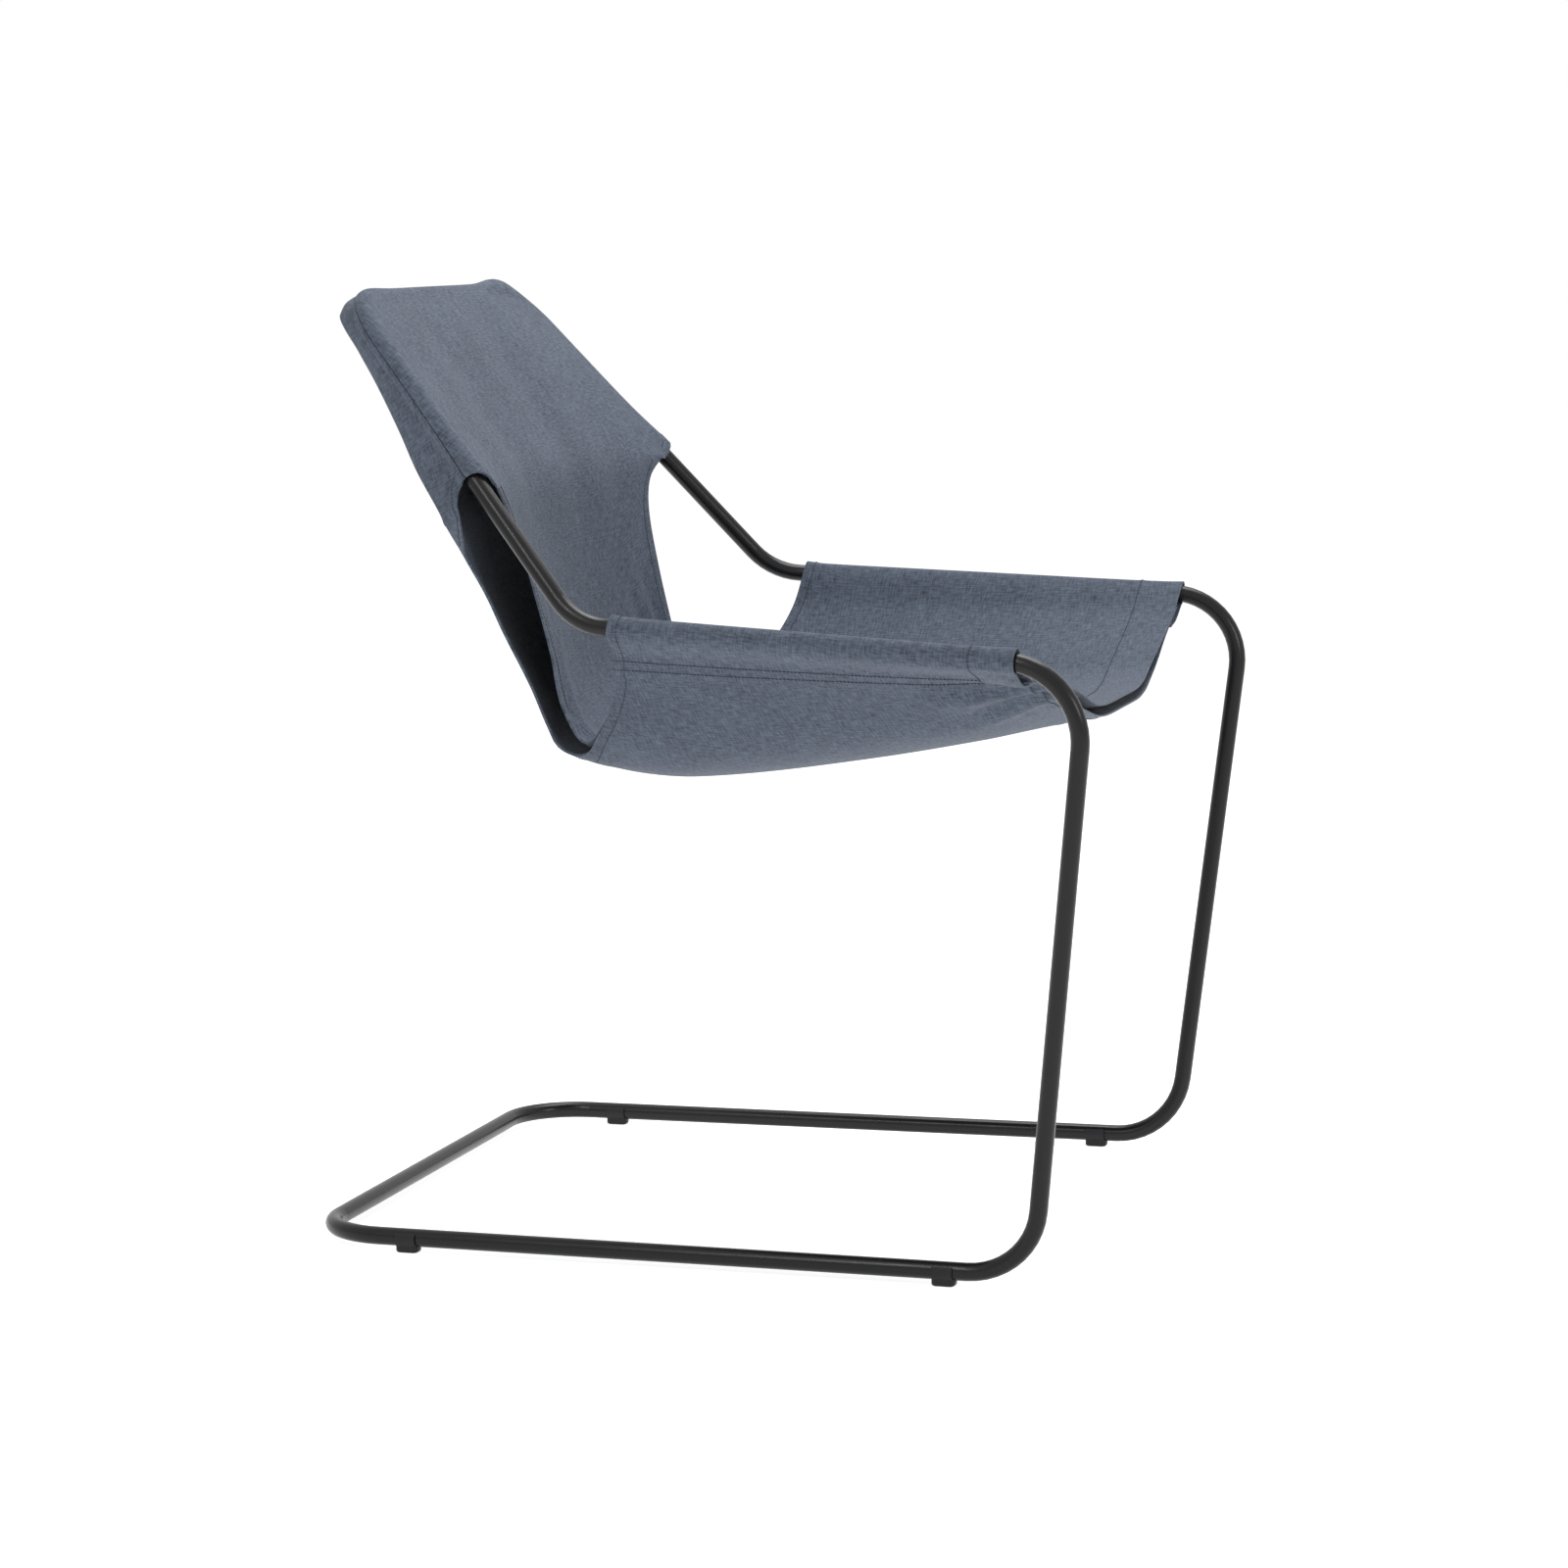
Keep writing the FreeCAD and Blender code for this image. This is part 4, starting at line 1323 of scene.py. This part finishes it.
@dataclass
class InnerLayer(CoverLayer):
    """The layer that is sat on: seat, arm sleeves with their flaps, back and the pocket's front."""

    slit: Pairs = (
        (0.0, 0.02),
        (2.0, 0.15),
        (5.0, 0.32),
        (8.5, 0.5),
        (11.5, 0.66),
        (13.3, 0.82),
        (14.0, 1.0),
    )
    seat: Hammock = Hammock(near_lift=18.0)
    under_flap: float = 1.8
    shut_until: float = 42.0
    open_from: float = 126.0
    wrap: float = 9.75
    wrap_columns: int = 12
    end_looseness: float = 1.2
    end_lengths: tuple[float, float] = (16.0, 12.0)
    flap: float = 56.0
    flap_columns: int = 14
    flap_turn: float = 31.5
    flap_rest: float = 4.4
    flap_fade: float = 30.0
    flap_full: float = 60.0
    near_flap_lift: float = 8.0
    far_flap_lift: float = 6.0
    pocket_inset: float = 14.0
    crest_drop: float = 0.3
    mouth_length: float = 25.0
    mouth_inset: float = 12.0
    mouth_drop: float = 3.6

    def rise_of(self, down: np.ndarray, along: np.ndarray) -> np.ndarray:
        """Return how far the layer lies above the middle surface: close to it under the flap."""
        opened = (self.gap_at(along) - self.under_flap) * ease(self.shut_until, self.open_from, down)
        return stepped([(0.0, self.wrap), (self.shut_until, self.under_flap)], down) + opened

    def low_back(self, last_row: np.ndarray) -> np.ndarray:
        """Return the back below the pocket's mouths."""
        path = [
            (174.0, 152.0, 472.0),
            (172.0, 164.0, 524.0),
            (175.0, 176.0, 573.0),
            (184.0, 188.0, 626.0),
            (204.0, 193.0, 657.0),
            (233.0, 190.0, 675.0),
        ]
        sags = [(0.0, 12.0), (0.35, self.back_sag), (0.7, self.back_sag), (1.0, self.mouth_sag)]
        return self.below_mouths(last_row, path, sags)

    def edge_of(self, along: np.ndarray) -> tuple[np.ndarray, np.ndarray]:
        """Return where the back meets the pocket's front: just inside the bar, level with its crest."""
        loose = np.exp(-along / self.mouth_length)
        level = self.pocket_wrap - self.crest_drop
        return self.pocket_inset + self.mouth_inset * loose, level - self.mouth_drop * loose

    def wing(self, hand: Hand) -> np.ndarray:
        """Return one arm's wall, sleeve and flap.

        Args:
            hand: the arm's side.

        Returns:
            Points of shape (rows, columns, 3).
        """
        along = self.along[:, None]
        across = np.linspace(self.centre_reach, 1.0, self.wall_columns + 1)[None, :]
        down = (1.0 - across) * self.seat.slack(along)
        wall = self.seat.offset(hand.side * across, along, self.rise_of(down, along))
        end = np.full_like(along, hand.side)
        just_inside = 0.99
        axis = self.seat.middle(end, along)
        up = self.seat.normal(end, along)
        outward = unit(axis - self.seat.middle(end * just_inside, along))
        turns = np.linspace(0.0, math.pi, self.wrap_columns + 1)[None, 1:, None]
        from_front = self.along * self.seat.sleeve_length
        from_rear = self.seat.sleeve_length - from_front
        front_length, rear_length = self.end_lengths
        ends = np.exp(-from_front / front_length) + np.exp(-from_rear / rear_length)
        loose = (self.wrap + self.end_looseness * ends)[:, None, None]
        over = axis + (up * np.cos(turns) + outward * np.sin(turns)) * loose
        hang = np.linspace(0.0, self.flap, self.flap_columns + 1)[1:][None, :]
        rests = stepped([(0.0, -self.wrap), (self.flap_turn, -self.flap_rest)], hang)
        distance = rests - self.flap_lift(hand, from_front[:, None], hang)
        flap = self.seat.offset(hand.side * (1.0 - hang / self.seat.slack(along)), along, distance)
        return np.concatenate([wall, over, flap], axis=1)

    def flap_lift(self, hand: Hand, from_front: np.ndarray, hang: np.ndarray) -> np.ndarray:
        """Return how far the flap stands off near its front corner, where nothing holds it.

        Args:
            hand: the arm's side; the near flap, on the right, stands off further.
            from_front: distance behind the front edge.
            hang: distance below the arm.

        Returns:
            The distances that it stands off.
        """
        most = self.near_flap_lift if hand is Hand.RIGHT else self.far_flap_lift
        near_corner = np.exp(-((from_front / self.flap_fade) ** 2))
        return most * near_corner * np.sin(math.pi * np.clip(hang / self.flap_full, 0.0, 1.0)) ** 2

    def pocket_place(
        self, start: np.ndarray, along: np.ndarray, shares: np.ndarray, side: np.ndarray
    ) -> np.ndarray:
        """Return the pocket's front: flat up to the bar's crest, then round to the seam on its outer side.

        Args:
            start: the centre's edge, one point for each row.
            along: each row's length of bar above the mouth.
            shares: the share of the way to the seam, by row and column.
            side: the sign of x in each row.

        Returns:
            Points of shape (rows, columns, 3).
        """
        inset, out = (row[:, None] for row in self.edge_of(along))
        wrap = self.wrap_of(along, side)[:, None]
        front, turned = self.flat_and_turn(shares)
        turn = turned * math.radians(self.seam_turn)
        reach = wrap * np.sin(turn) - inset * (1.0 - front)
        height = out + (wrap - out) * ease(0.0, 1.0, front) + wrap * (np.cos(turn) - 1.0)
        slip = start[:, None, :] - self.beside_bar(along, side, -inset, out)
        return self.beside_bar(along, side, reach, height) + slip * ((1.0 - front) ** 3)[..., None]

    def folds(self) -> list[Fold]:
        """Return the drag lines at the near flap, the creases at the turns and soft folds down the back."""
        # each crease on the left side: start, end, height and width
        creases = (
            ((168.0, 137.0, 440.0), (154.0, 168.0, 585.0), 3.0, 4.5),
            ((164.0, 137.0, 438.0), (140.0, 172.0, 600.0), -3.4, 5.0),
            ((159.0, 136.0, 436.0), (124.0, 172.0, 600.0), 4.0, 5.5),
            ((152.0, 134.0, 434.0), (104.0, 168.0, 585.0), -3.6, 6.5),
            ((143.0, 132.0, 434.0), (82.0, 164.0, 565.0), 3.2, 7.5),
        )
        on_back = (1.0, 0.15, 1.0)
        found = self.drag_folds()
        for hand in Hand:
            flip = np.array([hand.side, 1.0, 1.0])
            for start, end, height, width in creases:
                found.append(Fold(tuple(flip * start), tuple(flip * end), height, width, on_back))
        soft = ((-150, -120, 1.3), (-95, -70, -1.4), (-20, -10, 1.2), (55, 40, -1.6), (120, 95, 1.4))
        return found + self.back_folds(soft, (335.0, 4.0), (20.0, -20.0), 24.0)


@dataclass
class OuterLayer(CoverLayer):
    """The layer below and behind: it ends inside the sleeves and closes the pocket's rear and sides."""

    face: Face = Face.OUTSIDE
    slit_rows: int = 11
    turn_shift: Point = (0.0, 0.0, -6.0)
    front_gap: float = 6.5
    tucked: float = 26.0
    shut_until: float = 63.0
    open_from: float = 147.0
    mouth_sag: float = 24.0
    corner_inset: float = 6.0
    corner_bulge: float = 14.0
    full_place: float = 22.0
    full_width: float = 30.0
    flat_share: float = 0.72
    behind_turn: float = 150.0
    full_turn: float = 42.0
    seam_turn: float = 101.0
    swell: float = 1.5
    slit: Pairs = (
        (-60.0, 0.02),
        (-45.0, 0.1),
        (-25.0, 0.22),
        (-8.0, 0.33),
        (5.0, 0.44),
        (11.5, 0.56),
        (13.5, 0.7),
        (14.0, 1.0),
    )
    depths: Pairs = (
        (0.0, -49.0),
        (12.0, -46.0),
        (58.0, -41.0),
        (96.0, -33.5),
        (136.0, -27.0),
        (160.0, -24.0),
        (185.0, -22.0),
        (212.0, -22.5),
        (238.0, -22.5),
        (264.0, -18.0),
        (296.0, -12.0),
        (335.0, -9.0),
        (440.0, -8.8),
    )

    def rise_of(self, down: np.ndarray, along: np.ndarray) -> np.ndarray:
        """Return how far the layer lies above the middle surface: on it by the arms, below it further in."""
        return -self.gap_at(along) * ease(self.shut_until, self.open_from, down)

    def low_back(self, last_row: np.ndarray) -> np.ndarray:
        """Return the rear below the pocket's mouths."""
        path = [
            (171.0, 156.0, 436.0),
            (170.0, 168.0, 456.0),
            (170.0, 184.0, 493.0),
            (170.0, 209.0, 541.0),
            (174.0, 222.0, 572.0),
            (190.0, 232.6, 602.0),
            (222.0, 234.6, 627.0),
            (252.0, 230.0, 640.0),
        ]
        return self.below_mouths(last_row, path, [(0.0, 10.0), (0.4, self.back_sag), (1.0, self.mouth_sag)])

    def edge_of(self, along: np.ndarray) -> tuple[np.ndarray, np.ndarray]:
        """Return where the rear's side fold runs: inside the bar and behind it."""
        return self.corner_inset - self.corner_bulge * self.fullness(along), through(self.depths, along)

    def fullness(self, along: np.ndarray) -> np.ndarray:
        """Return how far the pocket's loose top corner has filled out, from 0 to 1."""
        return np.exp(-(((np.asarray(along) - self.corner_at - self.full_place) / self.full_width) ** 2))

    def wing(self, hand: Hand) -> np.ndarray:
        """Return the underside's reach up to one arm, hidden by the flap at its end.

        Args:
            hand: the arm's side.

        Returns:
            Points of shape (rows, columns, 3).
        """
        along = self.along[:, None]
        end = 1.0 - self.tucked / self.seat.slack(along)
        shares = np.linspace(0.0, 1.0, self.wall_columns + 1)[None, :]
        across = self.centre_reach + (end - self.centre_reach) * shares
        down = (1.0 - across) * self.seat.slack(along)
        return self.seat.offset(hand.side * across, along, self.rise_of(down, along))

    def pocket_place(
        self, start: np.ndarray, along: np.ndarray, shares: np.ndarray, side: np.ndarray
    ) -> np.ndarray:
        """Return the pocket's side: straight from the rear fold to the bar, then round to the seam.

        Args:
            start: the centre's edge, one point for each row.
            along: each row's length of bar above the mouth.
            shares: the share of the way to the seam, by row and column.
            side: the sign of x in each row.

        Returns:
            Points of shape (rows, columns, 3).
        """
        wrap = self.wrap_of(along, side)[:, None]
        straight, turned = self.flat_and_turn(shares)
        behind = np.radians(self.behind_turn - self.full_turn * self.fullness(along))[:, None]
        turn = behind + (math.radians(self.seam_turn) - behind) * turned
        on_bar = self.beside_bar(along, side, wrap * np.sin(turn), wrap * np.cos(turn))
        first = straight[..., None]
        begin = start[:, None, :]
        # the straight run swells a little, with small ripples along its length
        ripple = 0.7 * np.sin(along / 3.1) + 0.6 * np.sin(along / 4.7 + 1.0)
        swell = np.sin(math.pi * first) * (self.swell + ripple[:, None, None])
        _, outward = self.flanks(along, side)
        full_outward = outward[:, :1] * np.array([1.0, 0.0, 0.0]) + outward[:, 1:] * self.bar.up_the_back
        return begin + (on_bar - begin) * first + full_outward[:, None, :] * swell

    def folds(self) -> list[Fold]:
        """Return the drag lines at the near flap and soft folds down the rear."""
        soft = ((-110, -90, 1.8), (-30, -25, -2.0), (60, 50, 1.8), (140, 110, -1.8))
        return self.drag_folds() + self.back_folds(soft, (320.0, -20.0), (0.0, -100.0), 26.0)


@dataclass
class ClosureTapes:
    """Hook and loop tape that shuts each sleeve between its flap and the outer layer."""

    seat: Hammock = Hammock()
    width: float = 20.0
    edge_inset: float = 32.0
    end_inset: float = 14.0
    thickness: float = 0.9
    rows: int = 60
    columns: int = 7
    depths: tuple[tuple[str, float], ...] = (("loop", -1.55), ("hook", -2.85))
    no_hem: float = 100.0

    def build(self, name: str, hand: Hand, distance: float) -> bpy.types.Object:
        """Build one strip of tape.

        Args:
            name: the piece's name.
            hand: the side that it is on.
            distance: how far it lies from the seat's middle surface.

        Returns:
            The finished object.
        """
        end = self.end_inset / self.seat.sleeve_length
        along = np.linspace(end, 1.0 - end, self.rows)[:, None]
        down = self.edge_inset + self.width * np.linspace(0.0, 1.0, self.columns)[None, :]
        across = hand.side * (1.0 - down / self.seat.slack(along))
        points = self.seat.offset(across, along, np.full(across.shape, distance))
        flat = np.stack([run_lengths(points, 1), run_lengths(points, 0)], axis=-1)
        sheet = ClothMesh()
        sheet.add(points, flat, np.full(across.shape, self.no_hem), hand is Hand.RIGHT)
        places, pattern, _, faces = sheet.arrays()
        piece = cloth_object(name, places, pattern, faces)
        thicken(piece, self.thickness)
        return piece


@dataclass
class Stitching:
    """Lines of thread along hems and seams."""

    pitch: float = 3.4
    length: float = 2.9
    radius: float = 0.46
    segments: int = 6
    rings: int = 5
    twin_lines: tuple[float, float] = (35.0, 46.0)
    twin_start: int = 9
    mouth_inset: float = 10.0

    def tree(self) -> bpy.types.NodeTree:
        """Make the tree that lays a stitch at every pitch along each line.

        Returns:
            A geometry tree that turns lines into stitches.
        """
        nodes, given, made = new_group(
            "stitches",
            "GeometryNodeTree",
            {
                "Lines": "Geometry",
                "Pitch": "Float",
                "Length": "Float",
                "Radius": "Float",
                "Thread": "Material",
            },
            {"Stitches": "Geometry"},
        )
        asked = given.outputs
        curves = nodes.add("GeometryNodeMeshToCurve", {"Mesh": asked["Lines"]})
        spacing = {"Curve": curves.outputs["Curve"], "Length": asked["Pitch"]}
        spaced = nodes.add("GeometryNodeCurveToPoints", spacing, mode="LENGTH").outputs
        shape = {"Segments": self.segments, "Rings": self.rings, "Radius": 1.0}
        bead = nodes.add("GeometryNodeMeshUVSphere", shape)
        aligned = nodes.add("FunctionNodeAlignRotationToVector", {"Vector": spaced["Tangent"]}, axis="Z")
        half = nodes.math("MULTIPLY", asked["Length"], 0.5)
        size = nodes.add("ShaderNodeCombineXYZ", {"X": asked["Radius"], "Y": asked["Radius"], "Z": half})
        laying = {
            "Points": spaced["Points"],
            "Instance": bead.outputs["Mesh"],
            "Rotation": aligned.outputs["Rotation"],
            "Scale": size.outputs["Vector"],
        }
        laid = nodes.add("GeometryNodeInstanceOnPoints", laying)
        whole = nodes.add("GeometryNodeRealizeInstances", {"Geometry": laid.outputs["Instances"]})
        smooth = nodes.add("GeometryNodeSetShadeSmooth", {"Geometry": whole.outputs["Geometry"]})
        colouring = {"Geometry": smooth.outputs["Geometry"], "Material": asked["Thread"]}
        coloured = nodes.add("GeometryNodeSetMaterial", colouring)
        nodes.fill(made, {"Stitches": coloured.outputs["Geometry"]})
        return nodes.tree

    def inner_lines(self, inner: InnerLayer) -> list[np.ndarray]:
        """Return the lines of thread on the inner layer.

        Args:
            inner: the layer, already built.

        Returns:
            Its hems, the pocket's mouths and the twin lines that hold the flaps.
        """
        step = inner.flap / inner.flap_columns
        end_columns = int((inner.flap - self.twin_lines[-1]) / step)
        rows = np.arange(self.twin_start, inner.seat_rows)
        found = [inner.front_line(inner.front_hem, end_columns)]
        for hand in Hand:
            wing = inner.places[hand.wing]
            flap_start = wing.shape[1] - inner.flap_columns - 1
            for hang in self.twin_lines:
                found.append(inner.line_on(wing, rows, np.full(len(rows), flap_start + hang / step)))
            found += self.edge_lines(inner, hand)
        return found

    def outer_lines(self, outer: OuterLayer) -> list[np.ndarray]:
        """Return the lines of thread on the outer layer: its hems and the pocket's mouths."""
        found = [outer.front_line(outer.hem_width, 0)]
        for hand in Hand:
            found += self.edge_lines(outer, hand)
        return found

    def edge_lines(self, layer: CoverLayer, hand: Hand) -> list[np.ndarray]:
        """Return the lines along one side's free edge and round its mouth."""
        return [layer.free_edge_line(hand), layer.arch_line(hand, self.mouth_inset)]

    def build(self, name: str, lines: list[np.ndarray], thread: bpy.types.Material) -> bpy.types.Object:
        """Build every stitch as one plain mesh.

        Args:
            name: the piece's name.
            lines: the lines to stitch along.
            thread: the thread's material.

        Returns:
            The finished object.
        """
        points: list[list[float]] = []
        edges: list[tuple[int, int]] = []
        for line in lines:
            start = len(points)
            points += (line * MILLIMETRE).tolist()
            edges += [(start + step, start + step + 1) for step in range(len(line) - 1)]
        mesh = bpy.data.meshes.new(name)
        mesh.from_pydata(points, edges, [])
        piece = new_object(name, mesh)
        tree = self.tree()
        sewn = piece.modifiers.new("stitches", "NODES")
        sewn.node_group = tree
        values = {
            "Pitch": self.pitch * MILLIMETRE,
            "Length": self.length * MILLIMETRE,
            "Radius": self.radius * MILLIMETRE,
            "Thread": thread,
        }
        for item in tree.interface.items_tree:
            if item.in_out == "INPUT" and item.name in values:
                sewn[item.identifier] = values[item.name]
        plain_mesh(piece)
        return piece


@dataclass(frozen=True)
class Lamp:
    """A soft lamp with a rectangular face: its place, its width and length, and its power in watts."""

    name: str
    place: Point
    size: tuple[float, float]
    power: float

    def hang(self, aim: Point) -> None:
        """Hang the lamp in the scene.

        Args:
            aim: the place that it looks at.
        """
        data = bpy.data.lights.new(self.name, "AREA")
        data.shape = "RECTANGLE"
        data.size, data.size_y = self.size
        data.energy = self.power
        lamp = bpy.data.objects.new(self.name, data)
        lamp.rotation_euler = (Vector(aim) - Vector(self.place)).to_track_quat("-Z", "Y").to_euler()
        lamp.location = self.place
        bpy.context.scene.collection.objects.link(lamp)


@dataclass
class Studio:
    """A pale floor, soft light and the camera at the photograph's angle."""

    place: Point = (-3.9355, -1.1677, 0.9080)
    yaw: float = 0.2868
    pitch: float = -0.1377
    roll: float = -0.0102
    lens: float = 103.27
    sensor: float = 36.0
    shift: tuple[float, float] = (-0.0050, 0.0339)
    floor_reach: float = 12.0
    floor_tone: float = 0.93
    floor_glow: float = 0.4
    seen_glow: float = 0.42
    room: float = 0.25
    aim: Point = (0.0, 0.0, 0.45)
    lamps: tuple[Lamp, ...] = (
        Lamp("strip_above", (-2.5, 0.7, 2.6), (0.1, 1.6), 20.0),
        Lamp("lamp_front", (-1.4, -3.2, 1.7), (1.0, 1.0), 24.0),
        Lamp("lamp_above", (1.0, -0.1, 3.2), (2.0, 2.0), 70.0),
    )

    def camera(self) -> None:
        """Place the camera and make it the scene's own."""
        level_share = math.cos(self.pitch)
        ahead = Vector(
            (level_share * math.cos(self.yaw), level_share * math.sin(self.yaw), math.sin(self.pitch))
        )
        level = ahead.cross(Vector((0.0, 0.0, 1.0))).normalized()
        upright = level.cross(ahead)
        right = level * math.cos(self.roll) + upright * math.sin(self.roll)
        up = upright * math.cos(self.roll) - level * math.sin(self.roll)
        data = bpy.data.cameras.new("camera")
        data.lens = self.lens
        data.sensor_width = self.sensor
        data.shift_x, data.shift_y = self.shift
        camera = bpy.data.objects.new("camera", data)
        turn = Matrix((right, up, -ahead)).transposed()
        camera.matrix_world = Matrix.Translation(self.place) @ turn.to_4x4()
        bpy.context.scene.collection.objects.link(camera)
        bpy.context.scene.camera = camera

    def floor(self) -> None:
        """Lay a wide pale floor that keeps the chair's shadow."""
        reach = self.floor_reach
        mesh = bpy.data.meshes.new("floor")
        corners = [(-reach, -reach, 0.0), (reach, -reach, 0.0), (reach, reach, 0.0), (-reach, reach, 0.0)]
        mesh.from_pydata(corners, [], [(0, 1, 2, 3)])
        floor = new_object("floor", mesh)
        material, nodes, surface = new_material("pale_floor")
        # the camera and reflections see the floor brighter, up to the white of the room behind it
        path = nodes.add("ShaderNodeLightPath").outputs
        seen = nodes.math("MAXIMUM", path["Is Camera Ray"], path["Is Glossy Ray"])
        looks = {
            "Base Color": (self.floor_tone, self.floor_tone, self.floor_tone, 1.0),
            "Roughness": 1.0,
            "Specular IOR Level": 0.0,
            "Emission Color": (1.0, 1.0, 1.0, 1.0),
            "Emission Strength": nodes.math(
                "ADD", nodes.math("MULTIPLY", seen, self.seen_glow), self.floor_glow
            ),
        }
        nodes.fill(surface, looks)
        mesh.materials.append(material)

    def light(self) -> None:
        """Set a room that looks white and lights the chair dimly, and hang the lamps."""
        world = bpy.data.worlds.new("white_room")
        bpy.context.scene.world = world
        world.use_nodes = True
        nodes = Nodes(world.node_tree)
        path = nodes.add("ShaderNodeLightPath").outputs
        clear = nodes.math("MAXIMUM", path["Is Transmission Ray"], path["Is Glossy Ray"])
        seen = nodes.math("MAXIMUM", path["Is Camera Ray"], clear)
        level = nodes.add("ShaderNodeMapRange", {"Value": seen, "To Min": self.room, "To Max": 1.0})
        white = {"Color": (1.0, 1.0, 1.0, 1.0), "Strength": level.outputs["Result"]}
        nodes.fill(world.node_tree.nodes["Background"], white)
        for lamp in self.lamps:
            lamp.hang(self.aim)


def dress(piece: bpy.types.Object, *materials: bpy.types.Material) -> None:
    """Give a piece its materials.

    Args:
        piece: the piece.
        materials: its materials in the order of its slots.
    """
    slots = piece.data.materials
    slots.clear()
    for material in materials:
        slots.append(material)


def declare(piece: bpy.types.Object, slot: str, *nodes: str) -> None:
    """Tell the frame what a piece rides on, and hide the solids that it stands for.

    Args:
        piece: the piece.
        slot: not used.
        nodes: the solids that it replaces.
    """
    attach(piece, "root")
    if nodes:
        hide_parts(*nodes)
    log.info("%s: %d faces, for %s", piece.name, len(piece.data.polygons), ", ".join(nodes) or "nothing else")


def main() -> None:
    """Build the cover, dress every piece, and set the studio."""
    logging.basicConfig(level=logging.INFO, format="%(name)s %(message)s")
    bpy.context.scene.view_settings.view_transform = "Standard"
    woven, grain = woven_group(), grain_group()
    canvas, backing_and_shade, tape = (finish.material(woven) for finish in (CANVAS, BACKING_AND_SHADE, TAPE))
    coat, plastic, thread = (finish.material(grain) for finish in (COAT, PLASTIC, THREAD))

    inner, outer = InnerLayer(), OuterLayer()
    inner_piece = inner.build("cover_inner")
    outer_piece = outer.build("cover_outer")
    # the back of each layer takes the dark backing, which also stands as painted shade inside the cover
    dress(inner_piece, canvas, backing_and_shade)
    dress(outer_piece, canvas, backing_and_shade)
    stitching = Stitching()
    inner_thread = stitching.build("stitching_inner", stitching.inner_lines(inner), thread)
    outer_thread = stitching.build("stitching_outer", stitching.outer_lines(outer), thread)

    inner_nodes = ("seat_panel", "back_panel", "pocket_edge", "arm_sleeve_left", "arm_sleeve_right")
    declare(inner_piece, "canvas", *inner_nodes)
    declare(outer_piece, "canvas", "under_panel", "rear_panel")
    declare(inner_thread, "canvas")
    declare(outer_thread, "canvas")
    tapes = ClosureTapes()
    for hand in Hand:
        for kind, distance in tapes.depths:
            node = f"{kind}_tape_{hand.name.lower()}"
            strip = tapes.build(f"{node}_strip", hand, distance)
            dress(strip, tape)
            declare(strip, "tape", node)

    for name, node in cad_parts.items():
        if name in ("frame_bar", "closing_weld"):
            dress(node, coat)
        elif name.startswith("glide"):
            dress(node, plastic)

    studio = Studio()
    studio.floor()
    studio.light()
    studio.camera()


if __name__ == "__main__":
    main()
